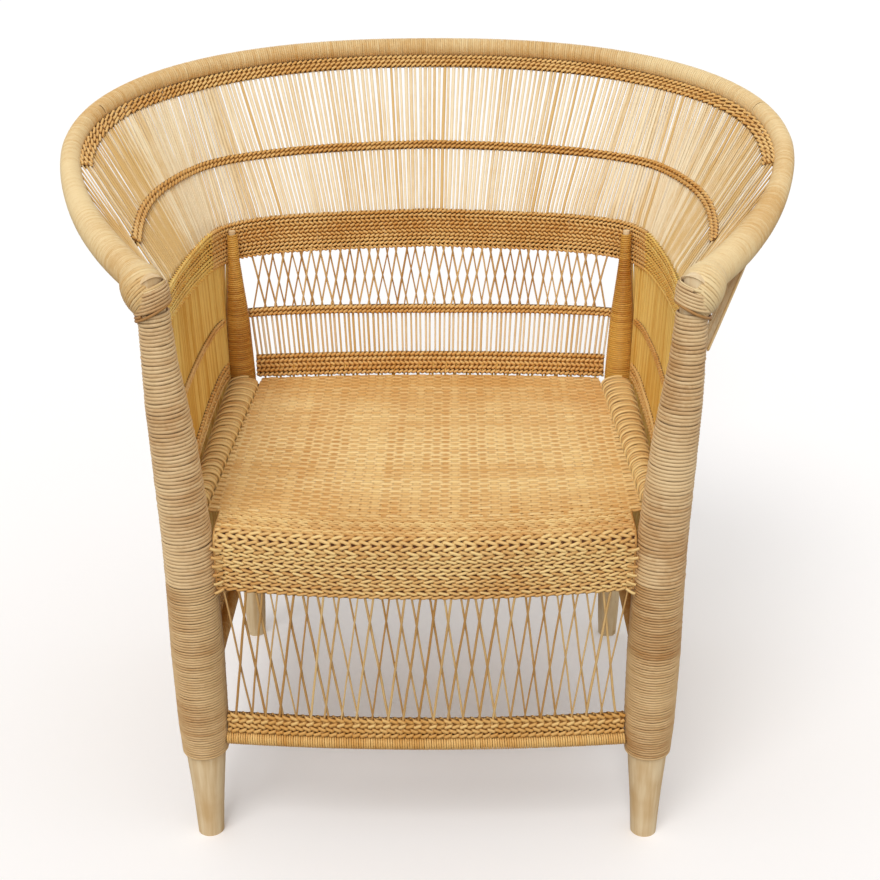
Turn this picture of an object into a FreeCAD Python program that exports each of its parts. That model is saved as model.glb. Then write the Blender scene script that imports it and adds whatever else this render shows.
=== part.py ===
import FreeCAD, Part
import math
import os

from FreeCAD import Placement, Rotation, Vector

# A cane armchair. X runs across it, Y from front to back, Z up, in millimetres. The origin lies on
# the floor, in the middle of the chair's outline. The sheet holds every size. Most places are counted
# from the line that joins the two front posts, and front_line moves that line to its Y.

SIZES = (
    ("joint_gap", 0.3),
    # front posts
    ("arm_height", 655.0),
    ("foot_half_width", 250.0),
    ("arm_lean", 18.5),
    ("front_girth", 25.8),
    ("front_wrap_foot", 110.0),
    ("post_wrap", 3.4),
    # rear posts
    ("rear_line", 443.0),
    ("rear_height", 592.0),
    ("rear_half_width", 251.0),
    ("rear_nod", 6.0),
    ("rear_girth", 17.3),
    ("rear_wrap_foot", 100.0),
    ("rear_wrap", 2.2),
    # top rail
    ("rail_half_width", 418.0),
    ("rail_depth", 605.0),
    ("rail_widest", 350.0),
    ("rail_rise", 140.0),
    ("rail_arm_radius", 14.2),
    ("rail_back_radius", 9.0),
    ("rail_wrap", 2.7),
    ("rail_taper_from", 80.0),
    ("rail_taper_to", 290.0),
    ("arm_stub", 34.0),
    ("arm_peg_radius", 4.0),
    ("arm_peg_down", 34.0),
    ("arm_peg_up", 8.0),
    ("cutter", 130.0),
    # arm lashing
    ("lash_radius", 1.8),
    ("lash_pitch", 4.3),
    ("lash_low", 601.0),
    # lumbar ring
    ("lumbar_half_width", 279.0),
    ("lumbar_flare", 20.0),
    ("lumbar_front", 23.0),
    ("lumbar_widest", 300.0),
    ("lumbar_depth", 488.0),
    ("lumbar_corner_height", 573.0),
    ("lumbar_back_rise", 10.0),
    ("lumbar_arm_rise", 50.0),
    ("lumbar_rise_from", 420.0),
    ("lumbar_band_height", 51.0),
    ("lumbar_band_narrowing", 17.0),
    # canes and weft
    ("cane_radius", 1.5),
    ("cross_cane_radius", 1.3),
    ("ply", 2.6),
    ("row_pitch", 5.6),
    # seat
    ("seat_top", 390.0),
    ("seat_rail_radius", 8.0),
    ("seat_sheet", 2.6),
    ("seat_rib_radius", 2.0),
    ("seat_rib_pitch", 11.0),
    ("seat_front_set", 15.0),
    ("seat_bow", 28.0),
    ("seat_front_half_width", 239.0),
    ("seat_rear_half_width", 226.0),
    ("apron_bottom", 319.0),
    ("apron_turn", 32.0),
    ("back_bow", 15.0),
    ("sight_step", 4.0),
    ("side_rail_height", 389.0),
    ("side_rail_radius", 7.0),
    ("side_roll_front", 9.6),
    ("side_roll_rear", 19.0),
    ("side_roll_thick", 9.5),
    ("tenon", 9.0),
    # lower rails
    ("lower_pole", 5.5),
    ("lower_wrap", 2.2),
    ("front_lower_height", 129.0),
    ("front_lower_bow", 15.0),
    ("side_lower_height", 165.0),
    ("lower_band_height", 26.0),
    # walls
    ("wall_half_width", 232.0),
    ("waist_half_width", 239.0),
    ("wall_seat_height", 401.5),
    ("wall_seat_band", 31.0),
    ("side_seat_band_height", 407.0),
    ("side_seat_band", 23.0),
    ("waist_height", 475.0),
    ("waist_rise", 30.0),
    ("waist_band", 12.0),
    ("side_waist_band", 9.0),
    ("side_wall_rear", 421.0),
    ("side_foot_drop", 6.0),
    ("side_corner_rear", 441.0),
    ("top_band", 16.0),
    ("mid_band", 11.0),
    ("back_cane_pitch", 6.2),
    ("crown_cane_pitch", 4.9),
    ("crown_cane_clear", 3.4),
    ("arm_cane_height", 588.0),
    ("crown_bend", 12.0),
    ("side_cane_pitch", 4.7),
    ("back_cross_pitch", 12.4),
    ("back_cross_spread", 5.0),
    ("front_cross_pitch", 16.9),
    ("front_cross_spread", 7.5),
)

# Of a post's height, of its lean and of its girth, from the foot up.
FRONT_POST_SHARES = (
    (0.0, 0.0, 0.566), (0.09, -0.03, 0.7), (0.17, -0.05, 0.862), (0.225, -0.05, 0.95), (0.37, -0.02, 1.0),
    (0.47, 0.0, 0.961), (0.57, 0.07, 0.911), (0.67, 0.28, 0.845), (0.74, 0.43, 0.8), (0.81, 0.64, 0.71),
    (0.88, 0.82, 0.58), (0.945, 0.91, 0.51), (1.0, 1.0, 0.485), (1.06, 1.07, 0.475),
)
REAR_POST_SHARES = (
    (0.0, 0.0, 0.711), (0.12, 0.0, 0.885), (0.3, 0.0, 0.96), (0.5, 0.0, 1.0), (0.66, 0.0, 0.983),
    (0.8, 0.15, 0.76), (0.88, 0.5, 0.48), (0.945, 0.85, 0.28), (1.0, 1.0, 0.24),
)
RAIL_FLARE_POWER = 1.65
RAIL_ROUND_POWER = 2.3
RAIL_RISE_POWER = 1.3
LUMBAR_FLARE_POWER = 1.6
LUMBAR_ROUND_POWER = 4.8
LUMBAR_RISE_POWER = 1.25
MID_BAND_SHARE = 0.39
MID_BAND_DROP_SHARE = 0.75
MID_BAND_DROP_FROM_SHARE = 0.6
MID_BAND_REACH_SHARE = 0.955
TOP_BAND_REACH_SHARE = 0.955
CROWN_REACH_SHARE = 0.965
LEAN_FROM_SHARE = 0.28
LEAN_SHARE = 0.58
LEAN_POWER = 1.25
ARM_CANES = 5
ARM_CANE_ANGLE = 3
ARM_CANE_SPREAD = 45
ARM_CANE_FRONT_SHARE = 0.715
ARM_CANE_REAR_SHARE = 0.625
VALLEY_SHARE = 0.45
LASH_TILT_SHARE = 0.28
LUMBAR_ROWS = 10
WALL_SEAT_ROWS = 5
SIDE_SEAT_ROWS = 4
LOWER_ROWS = 4
WAIST_ROWS = 2
TOP_ROWS = 3
MID_ROWS = 2
LASH_TURNS = 7
SIDES = (("left", -1), ("right", 1))

doc = FreeCAD.newDocument("cane_armchair")
sheet = doc.addObject("Spreadsheet::Sheet", "Sizes")
for row, (alias, value) in enumerate(SIZES, start=1):
    sheet.set(f"A{row}", alias)
    sheet.set(f"B{row}", str(value))
    sheet.setAlias(f"B{row}", alias)
doc.recompute()


def size(alias):
    return float(sheet.get(alias))


nodes = []


def node(shape, name):
    """A sub-part whose shape is worked out here from the sheet's sizes."""
    piece = doc.addObject("Part::Feature", name)
    piece.Shape = shape
    piece.Placement = Placement(Vector(0, front_line, 0), Rotation())
    return keep(piece, name)


def keep(piece, name):
    piece.Label = name
    nodes.append(piece)
    return piece


def group(shapes):
    return Part.makeCompound(shapes)


# Sizes that follow from the sheet's sizes

gap = size("joint_gap")
cane = size("cane_radius")
cross_cane = size("cross_cane_radius")
ply = size("ply")
weave = 2 * size("seat_sheet") + 2 * size("seat_rib_radius") + 3 * gap
seat_roll = size("seat_rail_radius") + weave
seat_rail_height = size("seat_top") - seat_roll
cross_offset = cross_cane + gap / 2
cross_half = cross_offset + cross_cane + 2 * gap
cane_half = cane + gap
lower_roll = size("lower_pole") + gap + size("lower_wrap")
rail_back_roll = size("rail_back_radius") + gap + size("rail_wrap")
wall_line = size("rear_line") + size("seat_rail_radius") + gap + ply + cross_half
skirt_line = size("rear_line") + lower_roll + cross_half
front_reach = seat_roll + size("seat_bow") - size("seat_front_set")
rear_reach = size("rail_depth") + rail_back_roll
front_line = (front_reach - rear_reach) / 2


def blend(share):
    """Rise smoothly from 0 to 1 while share does."""
    share = min(max(share, 0.0), 1.0)
    return share * share * (3 - 2 * share)


def between(low, high, share):
    return low + (high - low) * share


def rod(start, end, radius):
    along = end - start
    return Part.makeCylinder(radius, along.Length, start, along)


# Posts: lofts through circles, with a socket for each rail that enters them


def post_loft(name, side, shares, height, foot, lean, nod, girth, extra, line, low_share=0.0):
    """A tapered pole, or a wrap round it, whose circles follow the sheet."""
    sections = []
    for number, (rise, lean_share, girth_share) in enumerate(shares):
        if rise < low_share:
            continue
        ring = doc.addObject("Part::Circle", f"{name}_ring_{number}")
        ring.setExpression("Radius", f"Sizes.{girth} * {girth_share} + {extra}")
        ring.setExpression("Placement.Base.x", f"{side} * (Sizes.{foot} + {lean} * {lean_share})")
        ring.setExpression("Placement.Base.y", f"{line} - {nod} * {lean_share} + {front_line}")
        ring.setExpression("Placement.Base.z", f"Sizes.{height} * {rise}")
        sections.append(ring)
    solid = doc.addObject("Part::Loft", name)
    solid.Sections = sections
    solid.Solid = True
    solid.Ruled = False
    return solid


def front_post_loft(name, side, extra="0", low_share=0.0):
    return post_loft(name, side, FRONT_POST_SHARES, "arm_height", "foot_half_width",
                     "Sizes.arm_lean", "0", "front_girth", extra, "0", low_share)


def rear_post_loft(name, side, extra="0", low_share=0.0):
    return post_loft(name, side, REAR_POST_SHARES, "rear_height", "rear_half_width",
                     "0", "Sizes.rear_nod", "rear_girth", extra, "Sizes.rear_line", low_share)


def post_radius(shares, height, girth, level):
    """The bare pole's radius at a height above the floor."""
    rise = level / height
    for (low, _, low_girth), (high, _, high_girth) in zip(shares, shares[1:]):
        if rise <= high:
            return girth * between(low_girth, high_girth, (rise - low) / (high - low))
    return girth * shares[-1][2]


def front_radius(level):
    return post_radius(FRONT_POST_SHARES, size("arm_height"), size("front_girth"), level)


def rear_radius(level):
    return post_radius(REAR_POST_SHARES, size("rear_height"), size("rear_girth"), level)


def post_offset(shares, height, lean, level):
    rise = level / height
    for (low, low_lean, _), (high, high_lean, _) in zip(shares, shares[1:]):
        if rise <= high:
            return lean * between(low_lean, high_lean, (rise - low) / (high - low))
    return lean * shares[-1][1]


def front_axis(level):
    lean = post_offset(FRONT_POST_SHARES, size("arm_height"), size("arm_lean"), level)
    return size("foot_half_width") + lean


def front_inside(level):
    """How far from the chair's middle plane the wrap of a front post starts."""
    return front_axis(level) - front_radius(level) - gap - size("post_wrap")


# Curves of the top rail and of the lumbar ring, from the arm's joint to the middle of the back


def half_plan(half_width, widest, depth, flare, flare_power, round_power, front):
    """Points of half an outline: a flaring side, then a rounded quarter of the back."""
    steps = 120
    corner = 0.5 ** (1 / round_power)
    points = []
    for step in range(steps):
        y = between(front, widest, step / steps)
        x = half_width - flare * ((widest - y) / widest) ** flare_power
        points.append((x, y))
    for step in range(steps):
        reach = corner * step / steps
        x = half_width * (1 - reach ** round_power) ** (1 / round_power)
        points.append((x, between(widest, depth, reach)))
    for step in range(steps + 1):
        reach = corner * (1 - step / steps)
        y = between(widest, depth, (1 - reach ** round_power) ** (1 / round_power))
        points.append((half_width * reach, y))
    return points


def rail_height(x, y):
    return size("arm_height") + size("rail_rise") * (max(y, 0.0) / size("rail_depth")) ** RAIL_RISE_POWER


def lumbar_height(x, y):
    inward = 1 - abs(x) / size("lumbar_half_width")
    back = size("lumbar_back_rise") * inward
    reach = size("lumbar_rise_from") - size("lumbar_front")
    ahead = max(size("lumbar_rise_from") - y, 0.0) / reach
    return size("lumbar_corner_height") + back + size("lumbar_arm_rise") * ahead ** LUMBAR_RISE_POWER


class Ring:
    """A curve from the left arm round the back to the right arm, for places from -1 to 1."""

    def __init__(self, plan, height):
        self.points = [Vector(x, y, height(x, y)) for x, y in plan]
        self.runs = [0.0]
        for last, point in zip(self.points, self.points[1:]):
            self.runs.append(self.runs[-1] + (point - last).Length)
        self.length = self.runs[-1]

    def at(self, place):
        run = (1 - min(abs(place), 1.0)) * self.length
        low, high = 0, len(self.runs) - 1
        while high - low > 1:
            middle = (low + high) // 2
            if self.runs[middle] <= run:
                low = middle
            else:
                high = middle
        share = (run - self.runs[low]) / (self.runs[high] - self.runs[low])
        point = between(self.points[low], self.points[high], share)
        return Vector(math.copysign(point.x, place), point.y, point.z)

    def along(self, place):
        step = size("sight_step") / self.length
        low = max(place - step, -1.0)
        high = min(place + step, 1.0)
        return (self.at(high) - self.at(low)).normalize()

    def place_at_depth(self, y):
        """The right-hand place where the ring passes a depth on its side."""
        for run, point in zip(self.runs, self.points):
            if point.y >= y:
                return 1 - run / self.length
        return 0.0

    def place_at_width(self, x):
        """The right-hand place where the ring passes a width on its back."""
        for run, point in zip(reversed(self.runs), reversed(self.points)):
            if point.x >= x:
                return 1 - run / self.length
        return 1.0


rail_ring = Ring(half_plan(size("rail_half_width"), size("rail_widest"), size("rail_depth"),
                           size("rail_half_width") - size("foot_half_width") - size("arm_lean"),
                           RAIL_FLARE_POWER, RAIL_ROUND_POWER, 0.0), rail_height)
lumbar_ring = Ring(half_plan(size("lumbar_half_width"), size("lumbar_widest"), size("lumbar_depth"),
                             size("lumbar_flare"), LUMBAR_FLARE_POWER, LUMBAR_ROUND_POWER,
                             size("lumbar_front")), lumbar_height)


def rail_pole(point):
    """The top rail's bare radius: stout on the arms, thinner round the back."""
    reach = size("rail_taper_to") - size("rail_taper_from")
    return between(size("rail_arm_radius"), size("rail_back_radius"),
                   blend((point.y - size("rail_taper_from")) / reach))


def rail_roll(point):
    return rail_pole(point) + gap + size("rail_wrap")


# Top rail, its wrap and the mitred joint with each front post

RAIL_STEPS = 44


def square_to(way):
    """The turn of a circle square to a direction, with its seam always on top."""
    across = way.cross(Vector(0, 0, 1)).normalize()
    return Rotation(across.cross(way), across * -1, way, "ZXY")


def rail_loft(name, extra):
    """A loft through circles square to the rail's curve, run past each arm's joint for the mitre."""
    rings = []
    for step in range(-RAIL_STEPS // 2, RAIL_STEPS // 2 + 1):
        place = 2 * step / RAIL_STEPS
        rings.append((rail_ring.at(place), rail_ring.along(place)))
    first, first_way = rings[0]
    last, last_way = rings[-1]
    rings.insert(0, (first - first_way * size("arm_stub"), first_way))
    rings.append((last + last_way * size("arm_stub"), last_way))
    sections = []
    for number, (point, way) in enumerate(rings):
        ring = doc.addObject("Part::Circle", f"{name}_ring_{number}")
        ring.Radius = rail_pole(point) + extra
        ring.Placement = Placement(point + Vector(0, front_line, 0), square_to(way))
        sections.append(ring)
    solid = doc.addObject("Part::Loft", name)
    solid.Sections = sections
    solid.Solid = True
    solid.Ruled = False
    return solid


def mitre_box(name, side, above):
    """A box on one face of the mitre plane, which halves the turn from the post into the arm."""
    joint = rail_ring.at(side) + Vector(0, front_line, 0)
    arm = rail_ring.along(side) * -side
    normal = (arm + Vector(0, 0, 1)).normalize()
    turn = Rotation(Vector(0, 0, 1), normal if above else normal * -1)
    box = doc.addObject("Part::Box", name)
    for edge in ("Length", "Width", "Height"):
        box.setExpression(edge, "Sizes.cutter")
    centre = Vector(size("cutter") / 2, size("cutter") / 2, 0)
    box.Placement = Placement(joint - turn.multVec(centre), turn)
    return box


def cut(name, base, tools):
    """Base less its tools."""
    if len(tools) > 1:
        tool = doc.addObject("Part::MultiFuse", f"{name}_tools")
        tool.Shapes = tools
    else:
        tool = tools[0]
    piece = doc.addObject("Part::Cut", name)
    piece.Base = base
    piece.Tool = tool
    return piece


def peg(name, radius, side):
    """The upright peg that holds an arm on its post, or its bore."""
    joint = rail_ring.at(side)
    pin = doc.addObject("Part::Cylinder", name)
    pin.setExpression("Radius", radius)
    pin.setExpression("Height", "Sizes.arm_peg_down + Sizes.arm_peg_up")
    pin.Placement = Placement(joint + Vector(0, front_line, -size("arm_peg_down")), Rotation())
    return pin


wrap_gap = "Sizes.joint_gap"
rail_bare = rail_loft("rail_bare", 0.0)
rail_bores = [peg(f"rail_bore_{word}", "Sizes.arm_peg_radius", side) for word, side in SIDES]
rail_ends = [mitre_box(f"rail_end_{word}", side, False) for word, side in SIDES]
top_rail = keep(cut("top_rail", rail_bare, rail_ends + rail_bores), "top_rail")

rail_outer = rail_loft("rail_wrap_outer", gap + size("rail_wrap"))
rail_inner = rail_loft("rail_wrap_inner", gap)
wrap_ends = [mitre_box(f"wrap_end_{word}", side, False) for word, side in SIDES]
top_rail_wrap = keep(cut("top_rail_wrap", rail_outer, [rail_inner] + wrap_ends), "top_rail_wrap")

for word, side in SIDES:
    keep(peg(f"arm_peg_{word}", "Sizes.arm_peg_radius", side), f"arm_peg_{word}")


# Rails between the posts: straight poles, and poles bowed along an arc


def straight_pole(name, radius, side, level, start, end, x):
    """A pole along Y, between two depths."""
    pole = doc.addObject("Part::Cylinder", name)
    pole.setExpression("Radius", radius)
    pole.Height = end - start
    turn = Rotation(Vector(0, 0, 1), Vector(0, 1, 0))
    pole.Placement = Placement(Vector(side * x, front_line + start, level), turn)
    return pole


def bow_radius(half, bow):
    return (half * half + bow * bow) / (2 * bow)


def bowed_pole(name, radius, half, reach, bow, line, level, ahead):
    """A pole along an arc from post to post: its middle lies ahead of its ends, or behind them."""
    arc = bow_radius(half, bow)
    turn = math.degrees(math.asin(reach / arc))
    pole = doc.addObject("Part::Torus", name)
    pole.Radius1 = arc
    pole.setExpression("Radius2", radius)
    pole.Angle3 = 2 * turn
    way = -1 if ahead else 1
    centre = Vector(0, front_line + line + way * (bow - arc), level)
    pole.Placement = Placement(centre, Rotation(Vector(0, 0, 1), way * 90 - turn))
    return pole


seat_side_x = size("seat_front_half_width") + gap + size("side_roll_front")
level = size("side_rail_height")
side_start = front_radius(level) - size("tenon")
side_end = size("rear_line") - rear_radius(level) + size("tenon")
level = size("side_lower_height")
lower_side_x = between(front_axis(level), size("rear_half_width"), 0.5)
side_foot_line = lower_side_x + lower_roll + gap + cane
corner_foot = size("side_seat_band_height") - size("side_seat_band") / 2
lower_start = front_radius(level) - size("tenon")
lower_end = size("rear_line") - rear_radius(level) + size("tenon")

front_seat_half = front_axis(seat_rail_height)
front_seat_reach = front_seat_half - front_radius(seat_rail_height) + size("tenon")
back_half = size("rear_half_width")
back_seat_reach = back_half - rear_radius(seat_rail_height) + size("tenon")
front_lower_half = front_axis(size("front_lower_height"))
front_lower_reach = front_lower_half - front_radius(size("front_lower_height")) + size("tenon")
back_lower_reach = back_half - rear_radius(size("side_lower_height")) + size("tenon")

SEAT_POLE = "Sizes.seat_rail_radius"
SIDE_POLE = "Sizes.side_rail_radius"
LOWER_POLE = "Sizes.lower_pole"
BORE = " + Sizes.joint_gap"


def front_seat_pole(name, radius, more):
    return bowed_pole(name, radius, front_seat_half, front_seat_reach + more, size("seat_bow"),
                      size("seat_front_set"), seat_rail_height, True)


def back_seat_pole(name, radius, more):
    return bowed_pole(name, radius, back_half, back_seat_reach + more, size("back_bow"),
                      size("rear_line"), seat_rail_height, False)


def front_lower_pole(name, radius, more, less=0.0):
    return bowed_pole(name, radius, front_lower_half, front_lower_reach + more - less,
                      size("front_lower_bow"), 0.0, size("front_lower_height"), True)


def back_lower_pole(name, radius, more, less=0.0):
    return bowed_pole(name, radius, back_half, back_lower_reach + more - less, size("back_bow"),
                      size("rear_line"), size("side_lower_height"), False)


def side_seat_pole(name, radius, more, side):
    return straight_pole(name, radius, side, size("side_rail_height"), side_start - more,
                         side_end + more, seat_side_x)


def side_lower_pole(name, radius, more, side):
    return straight_pole(name, radius, side, size("side_lower_height"), lower_start - more,
                         lower_end + more, lower_side_x)


keep(front_seat_pole("seat_rail_front", SEAT_POLE, 0.0), "seat_rail_front")
keep(back_seat_pole("seat_rail_back", SEAT_POLE, 0.0), "seat_rail_back")
keep(front_lower_pole("lower_rail_front", LOWER_POLE, 0.0), "lower_rail_front")
keep(back_lower_pole("lower_rail_back", LOWER_POLE, 0.0), "lower_rail_back")
for word, side in SIDES:
    keep(side_seat_pole(f"seat_rail_{word}", SIDE_POLE, 0.0, side), f"seat_rail_{word}")
    keep(side_lower_pole(f"lower_rail_{word}", LOWER_POLE, 0.0, side), f"lower_rail_{word}")


def sockets(post, side, front):
    """The rails that enter a post, a joint gap larger all round."""
    tools = [side_seat_pole(f"{post}_socket_side", SIDE_POLE + BORE, gap, side),
             side_lower_pole(f"{post}_socket_low", LOWER_POLE + BORE, gap, side)]
    if front:
        tools.append(front_seat_pole(f"{post}_socket_seat", SEAT_POLE + BORE, gap))
        tools.append(front_lower_pole(f"{post}_socket_foot", LOWER_POLE + BORE, gap))
    else:
        tools.append(back_seat_pole(f"{post}_socket_seat", SEAT_POLE + BORE, gap))
        tools.append(back_lower_pole(f"{post}_socket_foot", LOWER_POLE + BORE, gap))
    return tools


front_wrap_share = size("front_wrap_foot") / size("arm_height")
rear_wrap_share = size("rear_wrap_foot") / size("rear_height")
for word, side in SIDES:
    name = f"front_post_{word}"
    top = [mitre_box(f"{name}_end", side, True), peg(f"{name}_bore", "Sizes.arm_peg_radius", side)]
    keep(cut(name, front_post_loft(f"{name}_pole", side), sockets(name, side, True) + top), name)
    name = f"front_post_wrap_{word}"
    inner = front_post_loft(f"{name}_inner", side, wrap_gap, front_wrap_share)
    outer = front_post_loft(f"{name}_outer", side, f"{wrap_gap} + Sizes.post_wrap", front_wrap_share)
    top = [mitre_box(f"{name}_end", side, True)]
    keep(cut(name, outer, [inner] + sockets(name, side, True) + top), name)
    name = f"rear_post_{word}"
    keep(cut(name, rear_post_loft(f"{name}_pole", side), sockets(name, side, False)), name)
    name = f"rear_post_wrap_{word}"
    inner = rear_post_loft(f"{name}_inner", side, wrap_gap, rear_wrap_share)
    outer = rear_post_loft(f"{name}_outer", side, f"{wrap_gap} + Sizes.rear_wrap", rear_wrap_share)
    keep(cut(name, outer, [inner] + sockets(name, side, False)), name)


# Wraps of the lower rails, which end at the posts' wraps

front_back_off = size("post_wrap") + 3 * gap + size("tenon")
rear_back_off = size("rear_wrap") + 3 * gap + size("tenon")
LOWER_INNER = "Sizes.lower_pole + Sizes.joint_gap"
LOWER_OUTER = "Sizes.lower_pole + Sizes.joint_gap + Sizes.lower_wrap"

name = "lower_wrap_front"
keep(cut(name, front_lower_pole(f"{name}_outer", LOWER_OUTER, 0.0, front_back_off),
         [front_lower_pole(f"{name}_inner", LOWER_INNER, 0.0)]), name)
name = "lower_wrap_back"
keep(cut(name, back_lower_pole(f"{name}_outer", LOWER_OUTER, 0.0, rear_back_off),
         [back_lower_pole(f"{name}_inner", LOWER_INNER, 0.0)]), name)
for word, side in SIDES:
    name = f"lower_wrap_{word}"
    outer = straight_pole(f"{name}_outer", LOWER_OUTER, side, size("side_lower_height"),
                          lower_start + front_back_off, lower_end - rear_back_off, lower_side_x)
    keep(cut(name, outer, [side_lower_pole(f"{name}_inner", LOWER_INNER, 0.0, side)]), name)


# Side rolls of the seat: broad oval wraps round the side rails, wider towards the rear


def side_roll(name, side):
    level = size("side_rail_height")
    start = front_radius(level) + gap + size("post_wrap") + gap
    end = size("rear_line") - rear_radius(level) - gap - size("rear_wrap") - gap
    ovals = []
    for part, y, half, inner_edge in (("front", start, "side_roll_front", size("seat_front_half_width")),
                                      ("rear", end, "side_roll_rear", size("seat_rear_half_width"))):
        oval = doc.addObject("Part::Ellipse", f"{name}_{part}")
        oval.setExpression("MajorRadius", f"Sizes.{half}")
        oval.setExpression("MinorRadius", "Sizes.side_roll_thick")
        centre = Vector(side * (inner_edge + gap + size(half)), front_line + y, level)
        oval.Placement = Placement(centre, Rotation(Vector(1, 0, 0), 90))
        ovals.append(oval)
    loft = doc.addObject("Part::Loft", f"{name}_body")
    loft.Sections = ovals
    loft.Solid = True
    loft.Ruled = True
    bore = side_seat_pole(f"{name}_bore", SIDE_POLE + BORE, 0.0, side)
    return cut(name, loft, [bore])


for word, side in SIDES:
    keep(side_roll(f"seat_roll_{word}", side), f"seat_roll_{word}")


# Distances of the seat's layers from the axis of the front rail that they bend over

under_low = size("seat_rail_radius") + gap
under_high = under_low + size("seat_sheet")
rib_middle = under_high + gap + size("seat_rib_radius")
upper_low = rib_middle + size("seat_rib_radius") + gap
upper_high = upper_low + size("seat_sheet")


def crest_line(share):
    """Depth of the front rail's axis at a share of the half width."""
    return size("seat_front_set") - size("seat_bow") * (1 - share * share)


# Walls: surfaces that the canes lie in, given by a place along and a height


def lumbar_at_width(x):
    place = lumbar_ring.place_at_width(abs(x))
    return lumbar_ring.at(math.copysign(place, x))


def back_wall(x, z):
    """A point of the back between the seat's level and the lumbar ring."""
    share = x / back_half
    low = wall_line + size("back_bow") * (1 - share * share)
    top = lumbar_at_width(x)
    rise = (z - size("wall_seat_height")) / (top.z - size("wall_seat_height"))
    return Vector(x, between(low, top.y, rise), z)


def back_skirt(x, z):
    """A point of the back between the lower rail and the seat's level."""
    share = x / back_half
    bow = size("back_bow") * (1 - share * share)
    rise = (z - size("side_lower_height")) / (size("wall_seat_height") - size("side_lower_height"))
    return Vector(x, between(skirt_line, wall_line, rise) + bow, z)


def front_wall(x, z):
    """A point of the crossed canes under the apron."""
    top = crest_line(x / front_seat_half) - rib_middle
    share = x / front_lower_half
    low = -size("front_lower_bow") * (1 - share * share)
    rise = (z - size("front_lower_height")) / (size("apron_bottom") - size("front_lower_height"))
    return Vector(x, between(low, top, rise), z)


def side_wall(side, y, z):
    """A point of a side wall between its lower rail and the lumbar ring."""
    top = lumbar_ring.at(side * lumbar_ring.place_at_depth(y))
    rise = (z - size("side_lower_height")) / (top.z - size("side_lower_height"))
    return Vector(side * between(side_foot_line, abs(top.x), rise), y, z)


def corner_top(side, y):
    """Where a cane that passes outside the rear post ends, one row inside the lumbar band."""
    into = size("lumbar_band_height") * (0.5 - 1 / LUMBAR_ROWS)
    return lumbar_ring.at(side * lumbar_ring.place_at_depth(y)) - Vector(0, 0, into)


def corner_wall(side, y, z):
    """A point of a side's canes where they pass outside the rear post."""
    top = corner_top(side, y)
    rise = (z - corner_foot) / (top.z - corner_foot)
    reach = rear_radius(corner_foot) + 2 * gap + size("rear_wrap") + ply + cane_half
    past = y - size("rear_line")
    clear = size("rear_half_width") + math.sqrt(max(reach * reach - past * past, 0.0))
    foot = max(clear, abs(side_wall(side, size("side_wall_rear"), corner_foot).x))
    return Vector(side * between(foot, abs(top.x), rise), y, z)


# Seat: two sheets of weft with ribs between them, and the front rolled over the front rail


def seat_half_width(y):
    return between(size("seat_front_half_width"), size("seat_rear_half_width"), y / size("rear_line"))


apron_half_width = front_inside(size("apron_bottom")) - gap
DIAGONAL_SHARE = math.sqrt(0.5)


def seat_rear(x):
    """Depth of the seat's rear edge, which follows the foot of the back's band."""
    foot = back_wall(x, size("wall_seat_height") - size("wall_seat_band") / 2)
    return foot.y - cross_half - ply - gap


def mat_sheet(low, high):
    """The flat part of one sheet: straight sides, and a rear edge bowed like the back's band."""
    steps = 12
    base = seat_rail_height
    start = size("apron_turn") + gap
    rear = seat_half_width(size("rear_line"))
    border = []
    for step in range(steps + 1):
        x = rear * (1 - 2 * step / steps)
        border.append(Vector(x, seat_rear(x), base + low))
    bow = Part.BSplineCurve()
    bow.interpolate(border)
    front = seat_half_width(start)
    corners = [border[-1], Vector(-front, start, base + low), Vector(front, start, base + low), border[0]]
    edges = [Part.makeLine(first, last) for first, last in zip(corners, corners[1:])]
    edges.append(bow.toShape())
    return Part.Face(Part.Wire(edges)).extrude(Vector(0, 0, high - low))


def over_rail(x, radius, rear):
    """Points of a line across the seat at a distance from the front rail's axis, down to the hem."""
    y = crest_line(x / front_seat_half)
    z = seat_rail_height
    return (Vector(x, rear, z + radius), Vector(x, y, z + radius),
            Vector(x, y - radius * DIAGONAL_SHARE, z + radius * DIAGONAL_SHARE),
            Vector(x, y - radius, z), Vector(x, y - radius, size("apron_bottom")))


def apron_sheet(inner, outer):
    """One sheet bent over the front rail: its section is lofted along the rail's bow."""
    steps = 12
    sections = []
    for step in range(-steps, steps + 1):
        x = step / steps * apron_half_width
        out = over_rail(x, outer, size("apron_turn"))
        back = over_rail(x, inner, size("apron_turn"))
        edges = [Part.makeLine(out[0], out[1]), Part.Arc(out[1], out[2], out[3]).toShape(),
                 Part.makeLine(out[3], out[4]), Part.makeLine(out[4], back[4]),
                 Part.makeLine(back[4], back[3]), Part.Arc(back[3], back[2], back[1]).toShape(),
                 Part.makeLine(back[1], back[0]), Part.makeLine(back[0], out[0])]
        sections.append(Part.Wire(edges))
    return Part.makeLoft(sections, True, False)


node(mat_sheet(upper_low, upper_high), "seat_mat")
node(mat_sheet(under_low, under_high), "seat_mat_underside")
node(apron_sheet(upper_low, upper_high), "seat_apron")
node(apron_sheet(under_low, under_high), "seat_apron_lining")


def seat_rib(x):
    """A rib from the back rail, over the front rail and down to the apron's hem."""
    points = over_rail(x, rib_middle, seat_rear(x))
    path = Part.Wire([Part.makeLine(points[0], points[1]),
                      Part.Arc(points[1], points[2], points[3]).toShape(),
                      Part.makeLine(points[3], points[4])])
    ring = Part.Wire(Part.makeCircle(size("seat_rib_radius"), points[0], Vector(0, 1, 0)))
    return path.makePipeShell([ring], True, False)


rib_count = 2 * int(apron_half_width / size("seat_rib_pitch")) + 1
ribs = [seat_rib(size("seat_rib_pitch") * (number - rib_count // 2)) for number in range(rib_count)]
node(group(ribs), "seat_ribs")


# Canes of the walls


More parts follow.
